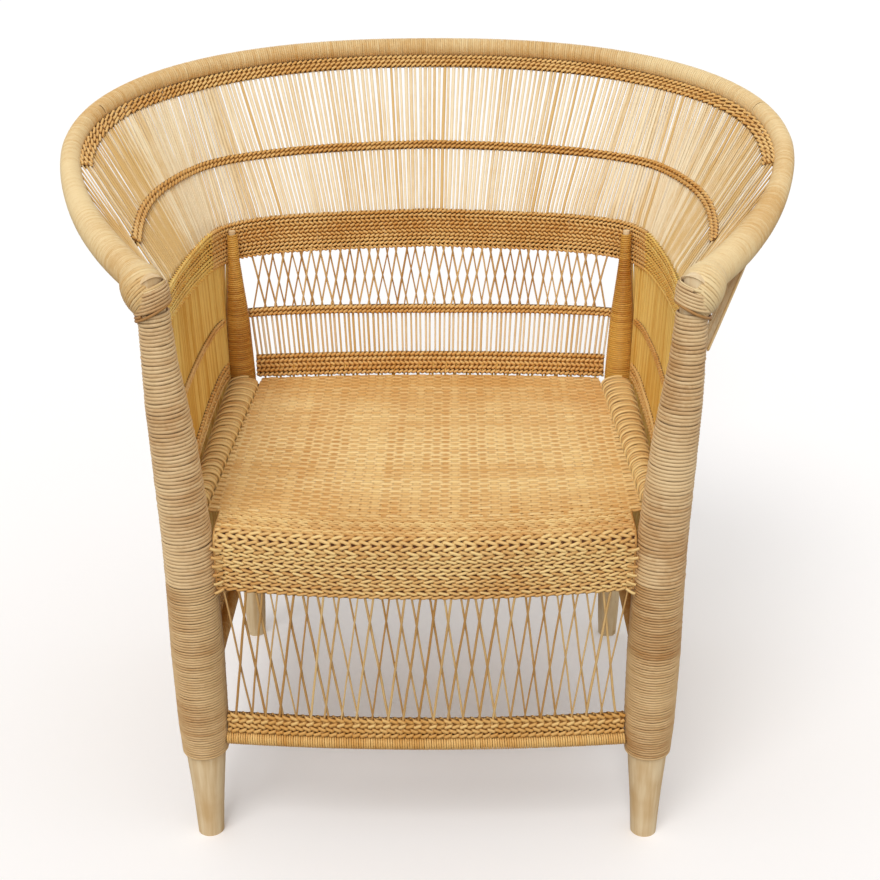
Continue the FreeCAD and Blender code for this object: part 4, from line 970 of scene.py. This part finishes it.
# %% Placing the crown's canes
crown_places = [0.0]
while crown_places[-1] < CROWN_REACH:
    crown_places.append(crown_places[-1] + crown_step(crown_places[-1]))
crown_places = [-place for place in crown_places[-2:0:-1]] + crown_places[:-1]
crown = Guides("crown_canes")
for place in crown_places:
    point, up, out, height = lumbar_station(place)
    bend = crown_foot(place)
    top = lean_place(place) + rng.uniform(-1, 1) * 0.0010
    way = (rail_ring.at(top) - bend).normalized()
    end = under_rail(top, way)
    line = [point - up * (height * 0.3), bend - up * BEND_IN, bend + way * BEND_IN]
    line += [bend.lerp(end, share) for share in (0.25, 0.5, 0.75, 1.0)]
    golden = smooth((abs(place) - BACK_SHARE) / 0.25)
    tint = rng.gauss(0.27, 0.14 + 0.18 * golden) + 0.45 * golden
    if rng.random() < 0.04:
        tint = rng.uniform(0.8, 1.2)
    crown.add(line, out, thick=rng.uniform(0.8, 1.25), shade=tint)
for side in (-1, 1):
    for number in range(ARM_FAN):
        share = (number + 0.5) / ARM_FAN
        bend = crown_foot(side * between(CROWN_REACH, 1.0, share))
        top = side * between(lean_place(CROWN_REACH), FAN_REACH, share ** FAN_EASE)
        end = under_rail(top, (rail_ring.at(top) - bend).normalized())
        out = lumbar_station(side * 0.99)[2]
        crown.add([bend - UP * (2 * BEND_IN)] + straight(bend, end, 5), out,
                  thick=rng.uniform(0.7, 1.1), shade=rng.gauss(0.75, 0.3))
strands(crown, LAYING, crown_cane, "canes", ["crown_canes_left", "crown_canes_back", "crown_canes_right"],
        Width=0.0041, Thickness=0.0030, Spacing=0.018, Wobble=0.0009, Seed=61)
print(len(crown_places), "crown canes and", 2 * ARM_FAN, "at the arms")

# %% [markdown]
# Two bands cross the crown: one a little below the middle, one right under the rail.

# %% Bands of the crown
MID_SHARE, MID_FALL, MID_FALL_FROM = 0.39, 0.75, 0.6
TOP_DROP, BAND_REACH = 0.008, 0.955


def mid_middle(place):
    drop = MID_FALL * max(abs(place) - MID_FALL_FROM, 0.0) ** 2
    return crown_foot(place).lerp(rail_ring.at(lean_place(place)), MID_SHARE - drop)


def top_middle(place):
    way = crown_way(place)
    sine = math.sin(way.angle(rail_ring.along(lean_place(place))))
    return under_rail(lean_place(place), way) - way * (TOP_DROP / sine)


def crown_station(place, middle_of, height):
    step = CROWN_PITCH / lumbar_ring.length
    along = (middle_of(place + step) - middle_of(place - step)).normalized()
    out = along.cross(crown_way(place)).normalized()
    return middle_of(place), out.cross(along).normalized(), out, height


def crown_band(name, rows, height, middle_of, pitch, seed):
    places = [BAND_REACH * (2 * step / 160 - 1) for step in range(161)]
    stations = [crown_station(place, middle_of, height) for place in places]
    slowed = slower_waves([station[0] for station in stations], places, pitch, SIDE_TWINE)
    twined_band(name, stations, (1,) * rows, band_cane, [name], height, slowed=slowed, Width=0.0033,
                Pitch=pitch, Rise=0.0014, Unevenness=0.0004, Seed=seed)


crown_band("mid_band", 2, 0.011, mid_middle, 0.0062, 71)
crown_band("top_band", 3, 0.016, top_middle, 0.0066, 72)

# %% [markdown]
# On the right a few more canes fan from the outer side of the front post back to the rail.

# %% Canes behind the right arm
CANE, CROSS_CANE = 0.0015, 0.0013
ARM_CANES, ARM_CANE_LEVEL, ARM_CANE_ANGLES, ARM_CANE_PLACES = 8, 0.588, (3, 48), (0.715, 0.625)
arm_canes = Guides("arm_canes")
level = ARM_CANE_LEVEL
for share in spread(0, 1, ARM_CANES - 1):
    angle = math.radians(between(*ARM_CANE_ANGLES, share))
    reach = front_radius(level) + 2 * JOINT + FRONT_WRAP + CANE
    foot = Vector((front_axis(level) + reach * math.cos(angle), reach * math.sin(angle), level))
    place = between(*ARM_CANE_PLACES, share)
    end = under_rail(place, (rail_ring.at(place) - foot).normalized())
    arm_canes.add(straight(foot, end, 4), Vector((1, 0, 0)),
                  thick=rng.uniform(0.8, 1.15), shade=rng.gauss(0.4, 0.2))
strands(arm_canes, LAYING, crown_cane, "canes", ["arm_canes"], Width=0.0035, Thickness=0.0030,
        Spacing=0.018, Wobble=0.0006, Seed=73)

# %% [markdown]
# ## The walls below the lumbar band
# Each wall is a surface given by a place along it and a height, so canes and bands lie on the same
# surface. The back leans back a little towards the lumbar band; the sides widen from the seat up.

# %% Surfaces of the walls
CROSS_OFFSET = CROSS_CANE + JOINT / 2
LOWER_POLE, LOWER_WRAP = 0.0055, 0.0022
LOWER_ROLL = LOWER_POLE + JOINT + LOWER_WRAP
BACK_BOW, SEAT_BOW, SEAT_FRONT_SET, LOWER_BOW = 0.015, 0.028, 0.015, 0.015
WALL_LINE, SKIRT_LINE = 0.45725, 0.45435
RAIL_MIDDLE = 0.3719
APRON_HEM, SEAT_RAIL_HALF = 0.319, 0.2513
WALL_SEAT, WAIST = 0.4015, 0.475
LOWER_FRONT, LOWER_SIDE, LOWER_SIDE_X = 0.129, 0.165, 0.2501
WALL_HALF, WAIST_HALF = 0.232, 0.239
SIDE_FOOT_X = LOWER_SIDE_X + LOWER_ROLL + JOINT + CANE
RIB_RADIUS = 0.0132
SIDE_REAR, CORNER_FOOT, CORNER_REACH = 0.421, 0.3955, 0.0242
SEAT_HALF = (0.239, 0.226)


def crest_line(x):
    return SEAT_FRONT_SET - SEAT_BOW * (1 - (x / SEAT_RAIL_HALF) ** 2)


def back_wall(x, z):
    low = WALL_LINE + BACK_BOW * (1 - (x / REAR_X) ** 2)
    top = lumbar_ring.at(lumbar_ring.place_at_width(abs(x)))
    rise = (z - WALL_SEAT) / (top.z - WALL_SEAT)
    return Vector((x, between(low, top.y, rise), z))


def back_skirt(x, z):
    bow = BACK_BOW * (1 - (x / REAR_X) ** 2)
    rise = (z - LOWER_SIDE) / (WALL_SEAT - LOWER_SIDE)
    return Vector((x, between(SKIRT_LINE, WALL_LINE, rise) + bow, z))


def front_wall(x, z):
    top = crest_line(x) - RIB_RADIUS
    low = -LOWER_BOW * (1 - (x / FOOT_X) ** 2)
    rise = (z - LOWER_FRONT) / (APRON_HEM - LOWER_FRONT)
    return Vector((x, between(low, top, rise), z))


def side_wall(side, y, z):
    """The side up to the rear post; past that, the canes step out round the post."""
    top = lumbar_ring.at(side * lumbar_ring.place_at_depth(y))
    if y <= SIDE_REAR + 0.002:
        rise = (z - LOWER_SIDE) / (top.z - LOWER_SIDE)
        return Vector((side * between(SIDE_FOOT_X, abs(top.x), rise), y, z))
    past = y - REAR_LINE
    clear = REAR_X + math.sqrt(max(CORNER_REACH ** 2 - past ** 2, 0.0))
    foot = max(clear, abs(side_wall(side, SIDE_REAR, CORNER_FOOT).x))
    top.z -= 0.4 * LUMBAR_BAND
    rise = (z - CORNER_FOOT) / (top.z - CORNER_FOOT)
    return Vector((side * between(foot, abs(top.x), rise), y, z))


# %% [markdown]
# The back and the front have crossed canes in two layers. Each pair crosses its neighbours, which leaves
# narrow diamonds.

# %% Crossed canes of the back and the front
def crossed_canes(name, wall, half_width, low, high, pitch, slant, material, width, seed):
    guides = Guides(name)
    count = int((2 * half_width - slant - 2 * CROSS_CANE) / pitch) + 1
    for number in range(count):
        middle = pitch * (number - (count - 1) / 2)
        for way in (-1, 1):
            if not 0 <= number + way < count:
                continue
            stray = [rng.uniform(-1, 1) * 0.0017 for _ in range(2)]
            top_x = middle - way * slant / 2 + stray[0]
            foot_x = middle + way * (pitch + slant / 2) + stray[1]
            shift = Vector((0, way * CROSS_OFFSET, 0))
            top, foot = wall(top_x, high(top_x)), wall(foot_x, low)
            guides.add([point + shift for point in straight(foot, top, 6)], AHEAD,
                       thick=rng.uniform(0.75, 1.2), shade=rng.gauss(0.5, 0.22))
    strands(guides, LAYING, material, "canes", [name], Width=width, Thickness=0.0024, Spacing=0.012,
            Wobble=0.0012, Seed=seed)
    print(name, count, "pairs")


def lumbar_edge(x):
    return lumbar_ring.at(lumbar_ring.place_at_width(abs(x))).z - LUMBAR_BAND / 2 + 0.010


crossed_canes("back_crossed_canes", back_wall, WAIST_HALF, WAIST, lumbar_edge, 0.0124, 0.005, lattice_cane,
              0.0026, 81)
crossed_canes("back_skirt_canes", back_skirt, WALL_HALF, 0.159, lambda x: WALL_SEAT, 0.0169, 0.0075,
              side_cane, 0.0030, 82)
front_half = min(front_inside(ARM_HEIGHT * rise) for rise, _, _ in FRONT_POST_SHARES) - JOINT
crossed_canes("front_crossed_canes", front_wall, front_half, LOWER_FRONT + LOWER_ROLL, lambda x: APRON_HEM,
              0.0169, 0.0075, lattice_cane, 0.0026, 83)

# %% [markdown]
# The short canes of the back run from the seat's level to the waist band, a little behind the middle of
# the wall.

# %% Short canes of the back
back_canes = Guides("back_canes")
count = int((WALL_HALF - CANE) / BACK_PITCH)
for number in range(-count, count + 1):
    x = BACK_PITCH * number + rng.uniform(-1, 1) * 0.0008
    foot, top = back_wall(x, WALL_SEAT), back_wall(x * WAIST_HALF / WALL_HALF, WAIST)
    back_canes.add([point + BEHIND * 0.0018 for point in straight(foot, top, 4)], AHEAD,
                   thick=rng.uniform(0.85, 1.1), shade=rng.gauss(0.45, 0.22))
strands(back_canes, LAYING, crown_cane, "canes", ["back_canes"], Width=0.0033, Thickness=0.0030,
        Spacing=0.016, Wobble=0.0006, Seed=84)

# %% [markdown]
# The side walls are denser: one upright cane nearly touches the next, from the lower rail up to the
# lumbar band.

# %% Canes of the sides
side_front = front_radius(LOWER_SIDE) + FRONT_WRAP + 2 * JOINT + CANE
SIDE_LAST, SIDE_SPLAY = 0.4222, 1.022
side_count = round((SIDE_LAST - side_front) / 0.0047)
SIDE_PITCH = (SIDE_LAST - side_front) / side_count
side_depths = [side_front + SIDE_PITCH * number for number in range(side_count + 1)]
corner_depths = [side_depths[-1] + SIDE_PITCH * number for number in range(1, 5)]
for word, side in SIDES:
    guides = Guides(f"side_canes_{word}")
    for y in side_depths + corner_depths:
        top_y = side_front + (y - side_front) * SIDE_SPLAY
        top = lumbar_ring.at(side * lumbar_ring.place_at_depth(top_y))
        low = LOWER_SIDE - 0.006 if y < SIDE_LAST + JOINT else CORNER_FOOT
        foot = side_wall(side, y, low)
        guides.add(straight(foot, top, 8), Vector((-side, 0, 0)), thick=rng.uniform(0.9, 1.15),
                   shade=rng.gauss(0.45, 0.24))
    strands(guides, LAYING, side_cane, "canes", [f"side_canes_{word}"], Width=0.0036, Thickness=0.0030,
            Spacing=0.016, Wobble=0.0006, Seed=85)


# %% [markdown]
# Bands tie the canes together at the lower rails, at the seat and at the waist. Each is made of twined
# rows like the lumbar band.

# %% Bands of the walls
ALONG = 0.0056
LOW_LEVEL = LOWER_SIDE + LOWER_ROLL + 0.0133
LOW_HEIGHT, LOW_TWINE, SIDE_BAND_TWINE = 0.026, 0.0085, 0.0094
EVEN, CHEVRONS = (1, 1), (1, -1, 1, -1)


def wall_band(name, wall, ends, level, height, leans, pitch, inward, seed):
    """Twined rows over a stretch of a wall; level is a function of the place along it."""
    stations = []
    for place in spread(*ends, 40):
        point = wall(place, level(place))
        up = (wall(place, level(place) + ALONG) - point).normalized()
        ahead = wall(place + ALONG, level(place + ALONG)) - wall(place - ALONG, level(place - ALONG))
        out = up.cross(ahead).normalized()
        if out.dot(inward) < 0:
            out = -out
        stations.append((point, up, out, height))
    if (stations[-1][0] - stations[0][0]).cross(UP).dot(inward) > 0:
        stations.reverse()
    rows = len(leans)
    twined_band(name, stations, leans, band_cane, [name], height, Width=height / rows * 0.70, Pitch=pitch,
                Rise=height / rows * 0.21, Unevenness=0.0004, Seed=seed)


def waist_level(y):
    return WAIST + 0.030 * (SIDE_REAR - y) / SIDE_REAR


half = WALL_HALF
wall_band("back_seat_band", back_wall, (-half, half), lambda x: WALL_SEAT, 0.031, (1, 1, -1, 1, 1),
          BACK_PITCH, AHEAD, 91)
wall_band("back_waist_band", back_wall, (-WAIST_HALF, WAIST_HALF), lambda x: WAIST, 0.012, EVEN,
          BACK_PITCH, AHEAD, 92)
wall_band("lower_band_back", back_skirt, (-half, half), lambda x: LOW_LEVEL, LOW_HEIGHT, CHEVRONS,
          LOW_TWINE, AHEAD, 93)
level = LOWER_FRONT + LOWER_ROLL + JOINT + 0.013
half = front_inside(level) - JOINT
wall_band("lower_band_front", front_wall, (-half, half), lambda x: level, LOW_HEIGHT, CHEVRONS,
          LOW_TWINE, AHEAD, 94)
for word, side in SIDES:
    ends = (side_depths[0] - CANE, side_depths[-1] + CANE)

    def wall(y, z, side=side):
        return side_wall(side, y, z)

    inward = Vector((-side, 0, 0))
    wall_band(f"lower_band_{word}", wall, ends, lambda y: LOW_LEVEL, LOW_HEIGHT, CHEVRONS,
              SIDE_BAND_TWINE, inward, 95)
    wall_band(f"side_seat_band_{word}", wall, (ends[0], corner_depths[-1] + CANE), lambda y: 0.407, 0.023,
              CHEVRONS, SIDE_BAND_TWINE, inward, 96)
    wall_band(f"side_waist_band_{word}", wall, ends, waist_level, 0.009, EVEN, SIDE_BAND_TWINE, inward, 97)


# %% [markdown]
# ## Lower rails and side rolls
# The lower rails are wound tightly with narrow cane. The seat's side rails carry broad flat strips, laid
# side by side over a filling, with a raised pale strand every few turns.

# %% Winding the lower rails and the side rolls
def bowed_line(half, reach, line, bow, level):
    return [Vector((x, line + bow * (1 - (x / half) ** 2), level)) for x in spread(-reach, reach, 24)]


def lower_wrap(name, points, seed):
    wound(name, points, LOWER_POLE + JOINT, band_cane, "cane_wrap", [name], Width=0.0027,
          Thickness=LOWER_WRAP, Pitch=0.0027, Steps=14, Lift=0.0002, Slip=0.0004, Seed=seed)


lower_wrap("lower_wrap_front", bowed_line(FOOT_X, front_inside(LOWER_FRONT), 0.0, -LOWER_BOW, LOWER_FRONT),
           101)
rear_gap = rear_radius(LOWER_SIDE) + 0.003
lower_wrap("lower_wrap_back", bowed_line(REAR_X, REAR_X - rear_gap, REAR_LINE, BACK_BOW, LOWER_SIDE), 102)
ROLL_LEVEL, ROLL_TALL = 0.389, 0.0077
for word, side in SIDES:
    ends = (front_radius(LOWER_SIDE) + 0.0043, REAR_LINE - rear_gap)
    lower_wrap(f"lower_wrap_{word}", [Vector((side * LOWER_SIDE_X, y, LOWER_SIDE)) for y in ends], 103 + side)

    first = front_radius(ROLL_LEVEL) + 0.0040
    last = REAR_LINE - rear_radius(ROLL_LEVEL) - 0.0028
    points, reach = [], []
    for share in spread(0, 1, 20):
        half = between(0.0096, 0.019, share)
        inner = between(*SEAT_HALF, share)
        points.append(Vector((side * (inner + JOINT + half), between(first, last, share), ROLL_LEVEL)))
        reach.append(half - 0.0018)
    name, across = f"seat_roll_{word}", Vector((1, 0, 0))
    wound(name, points, reach, seat_cane, "cane_wrap", [name], across, 0.45, tall=ROLL_TALL, Width=0.0066,
          Thickness=0.0018, Pitch=0.0066, Steps=26, Lift=0.0002, Slip=0.0008, Seed=105 + side)
    wound(name + "_ribbon", points, reach, seat_cane, "cane_wrap", [], across, 0.1, tall=ROLL_TALL,
          Width=0.0042, Thickness=0.0042, Pitch=0.0200, Steps=30, Lift=0.0002, Slip=0.0015, Seed=108 + side)

# %% [markdown]
# ## The seat
# Ribs run from the back over the front rail and down inside the apron. The mat is a plain weave across
# them, and the rolled front is twined.

# %% The seat's surface
RIB_PITCH = 0.011
APRON_HALF = front_inside(APRON_HEM) - JOINT
TURN, DROP = math.pi / 2 * RIB_RADIUS, RAIL_MIDDLE - APRON_HEM


def seat_half(y):
    """Half the seat's width: between the front posts, then between the side rolls."""
    return APRON_HALF if y < 0.032 else between(*SEAT_HALF, y / REAR_LINE)


def seat_rear(x):
    return back_wall(x, WALL_SEAT - 0.0155).y - 0.00335 - 0.0026 - JOINT


def apron_point(x, run):
    """A point on the middle of the seat's weave and its outward direction, run metres past the crest."""
    y = crest_line(x)
    if run <= 0:
        return Vector((x, y - run, RAIL_MIDDLE + RIB_RADIUS)), Vector((0, 0, 1))
    if run <= TURN:
        angle = run / RIB_RADIUS
        way = Vector((0, -math.sin(angle), math.cos(angle)))
        return Vector((x, y, RAIL_MIDDLE)) + way * RIB_RADIUS, way
    return Vector((x, y - RIB_RADIUS, RAIL_MIDDLE - (run - TURN))), Vector((0, -1, 0))


ribs = Guides("seat_ribs")
rib_count = int(APRON_HALF / RIB_PITCH)
for number in range(-rib_count, rib_count + 1):
    x = RIB_PITCH * number
    runs = spread(-(seat_rear(x) - crest_line(x)), 0.0, 6)[:-1] + spread(0.0, TURN, 8) + [TURN + DROP]
    line = [apron_point(x, run) for run in runs]
    ribs.add([point for point, way in line], [way for point, way in line], shade=rng.uniform(0.4, 0.8))
strands(ribs, LAYING, seat_cane, "canes", ["seat_ribs"], Width=0.0096, Thickness=0.0020, Sides=8,
        Spacing=0.006, Wobble=0.0, Seed=111)

# %% [markdown]
# The rows of the mat follow the bow of the front and of the back, so each lies at a share of the depth
# between the two.

# %% The seat's mat
MAT_START = 0.0387
MAT_PITCH = 0.00625
mat = Guides("seat_mat_weave")
depth = seat_rear(0) - crest_line(0) - MAT_START
rows = int(depth / MAT_PITCH)
for row in range(rows):
    share = (row + 0.5) / rows

    def row_y(x):
        return between(crest_line(x) + MAT_START, seat_rear(x), share)

    edge = max(x / 1000 for x in range(150, 245) if x / 1000 <= seat_half(row_y(x / 1000)))
    line = [Vector((x, row_y(x), RAIL_MIDDLE + RIB_RADIUS)) for x in spread(-edge, edge, 40)]
    phase = (row % 2) * math.pi + math.pi * edge / RIB_PITCH
    middle = math.exp(-((share - 0.45) / 0.16) ** 2)
    tint = rng.gauss(0.55, 0.13) - 0.25 * middle + 0.25 * smooth((share - 0.7) / 0.3)
    mat.add(line, UP, phase=-phase, shade=tint, thick=rng.uniform(0.95, 1.05))
strands(mat, WEAVING, mat_cane, "seat_weave", ["seat_mat", "seat_mat_underside"], Width=0.0061,
        Thickness=0.0022, Pitch=RIB_PITCH, Steps=5, Depth=0.0007, Rise=0.0, Unevenness=0.0005, Seed=112)
print(rows, "rows in the mat")

# %% [markdown]
# The rolled front is twined over the ribs from the mat round the front rail and down to the apron's hem.

# %% The rolled front of the seat
apron, cover = Guides("seat_apron_weave"), Guides("seat_apron_painted_shade")
APRON_ROWS = 24
for row in range(APRON_ROWS):
    run = between(-MAT_START, TURN + DROP, (row + 0.5) / APRON_ROWS)
    line = [apron_point(x, run) for x in spread(-APRON_HALF, APRON_HALF, 40)]
    outs = [way for point, way in line]
    crest = smooth((run + 0.012) / 0.008) * smooth((TURN + 0.008 - run) / 0.008)
    twined_row(apron, [point for point, way in line], outs, 1 if row % 2 else -1,
               thins=[1 + 0.2 * crest] * len(line))
    cover.add([point + way * 0.0012 for point, way in line], outs)
strands(apron, WEAVING, seat_cane, "seat_weave", ["seat_apron", "seat_apron_lining"], Width=0.0034,
        Thickness=0.0032, Pitch=RIB_PITCH, Steps=6, Depth=0.0022, Rise=0.0011, Unevenness=0.0004, Seed=113)
# The cover is painted shade: a dark sheet just outside the ribs, which shows in the gaps between the rows.
strands(cover, LAYING, painted_maroon_shade_cane, "seat_weave", [], Width=0.0050, Thickness=0.0004, Sides=4,
        Spacing=0.010, Wobble=0.0, Seed=114)

# %% [markdown]
# At each corner a few strands tie the apron to its post. They fan out from the post to the apron's edge.

# %% Ties at the apron's corners
TIE_LEVELS, TIE_TURN = (0.318, 0.372), math.radians(62)
for word, side in SIDES:
    ties = Guides(f"apron_ties_{word}")
    for share in spread(0, 1, 5):
        level = between(*TIE_LEVELS, share)
        reach = front_radius(level) + 0.0052
        start = Vector((side * (front_axis(level) - reach * math.sin(TIE_TURN)),
                        -reach * math.cos(TIE_TURN), level))
        edge, way = apron_point(side * (APRON_HALF - 0.007), TURN + between(DROP - 0.003, 0.004, share))
        line = [start, start.lerp(edge + way * 0.005, 0.5) + Vector((0, -0.0015, 0)), edge + way * 0.0046]
        ties.add(line, Vector((side * -0.5, -1, 0)).normalized(), thick=rng.uniform(0.85, 1.15),
                 shade=rng.uniform(0.2, 0.8))
    strands(ties, LAYING, seat_cane, "lashing", [], Width=0.0036, Thickness=0.0024, Spacing=0.003,
            Wobble=0.0003, Seed=115)

# %% [markdown]
# ## Stage, light and camera
# The chair stands on a plain white floor. The light is soft: an even sky gives most of it, a high lamp
# gives the shadow its side and a front lamp lights the seat's front and the legs. The camera sees the
# floor and the sky as white. To all other rays both are darker, so less light comes back from the floor.

# %% The floor and the sky
bpy.ops.mesh.primitive_plane_add(size=60)
floor = bpy.context.active_object
floor.name = "floor"
paper, nodes, shader = new_material("white_floor")
shader.inputs["Roughness"].default_value = 0.9
shader.inputs["Specular IOR Level"].default_value = 0.0
seen = nodes.add("ShaderNodeLightPath").outputs["Is Camera Ray"]
nodes.feed(shader.inputs["Base Color"], mixed(nodes, seen, (0.42, 0.40, 0.38, 1), (0.98, 0.96, 0.95, 1)))
nodes.feed(shader.inputs["Emission Strength"], nodes.math("MULTIPLY", seen, 0.07))
shader.inputs["Emission Color"].default_value = (1, 1, 1, 1)
floor.data.materials.append(paper)
print("floor:", floor.name, [round(side) for side in floor.dimensions])

world = bpy.data.worlds.new("sky")
bpy.context.scene.world = world
world.use_nodes = True
nodes = Nodes(world.node_tree)
sky = world.node_tree.nodes["Background"]
path = nodes.add("ShaderNodeLightPath")
direct = nodes.math("MAXIMUM", path.outputs["Is Camera Ray"],
                    nodes.math("MAXIMUM", path.outputs["Is Glossy Ray"],
                               path.outputs["Is Transmission Ray"]))
sky.inputs["Color"].default_value = (1, 1, 1, 1)
nodes.feed(sky.inputs["Strength"], nodes.math("MULTIPLY_ADD", direct, 0.33, 0.67))


# %% [markdown]
# Both lamps are suns, so their light is the same all over the chair. Wide suns give soft shadows.

# %% Lamps
def sun(name, strength, width, pitch, turn):
    """A lamp far away; width is how wide it looks, in degrees, and blurs its shadows."""
    lamp = bpy.data.lights.new(name, "SUN")
    lamp.energy = strength
    lamp.angle = math.radians(width)
    thing = bpy.data.objects.new(name, lamp)
    thing.rotation_euler = (math.radians(pitch), 0, math.radians(turn))
    bpy.context.scene.collection.objects.link(thing)
    print(name, strength)


sun("front_light", 0.6, 14, 60, -5)
sun("high_light", 0.85, 25, 32, -25)

# %% [markdown]
# The camera stands in front of the chair, higher than the rail, and looks down at the seat.

# %% The camera
FOCAL_PIXELS, FRAME_PIXELS, SENSOR = 1480, 880, 36.0
PLACE, LOOK_DOWN = (0.029, FRONT - 1.397, 1.093), 23.33
camera = bpy.data.cameras.new("camera")
camera.sensor_width = SENSOR
camera.lens = FOCAL_PIXELS / FRAME_PIXELS * SENSOR
viewer = bpy.data.objects.new("camera", camera)
turn = Matrix.Rotation(math.radians(0.5), 4, "Z")
tilt = Matrix.Rotation(math.radians(90 - LOOK_DOWN), 4, "X")
roll = Matrix.Rotation(math.radians(-0.23), 4, "Z")
viewer.matrix_world = Matrix.Translation(PLACE) @ turn @ tilt @ roll
bpy.context.scene.collection.objects.link(viewer)
bpy.context.scene.camera = viewer
bpy.context.scene.view_settings.view_transform = "Standard"
print(f"camera lens {camera.lens:.1f} mm")

# %% [markdown]
# Last, the faces that the strands made are counted and printed, with the largest piece.

# %% Faces at the end
print("faces:", sum(made_faces.values()), max(made_faces.items(), key=lambda item: item[1]))
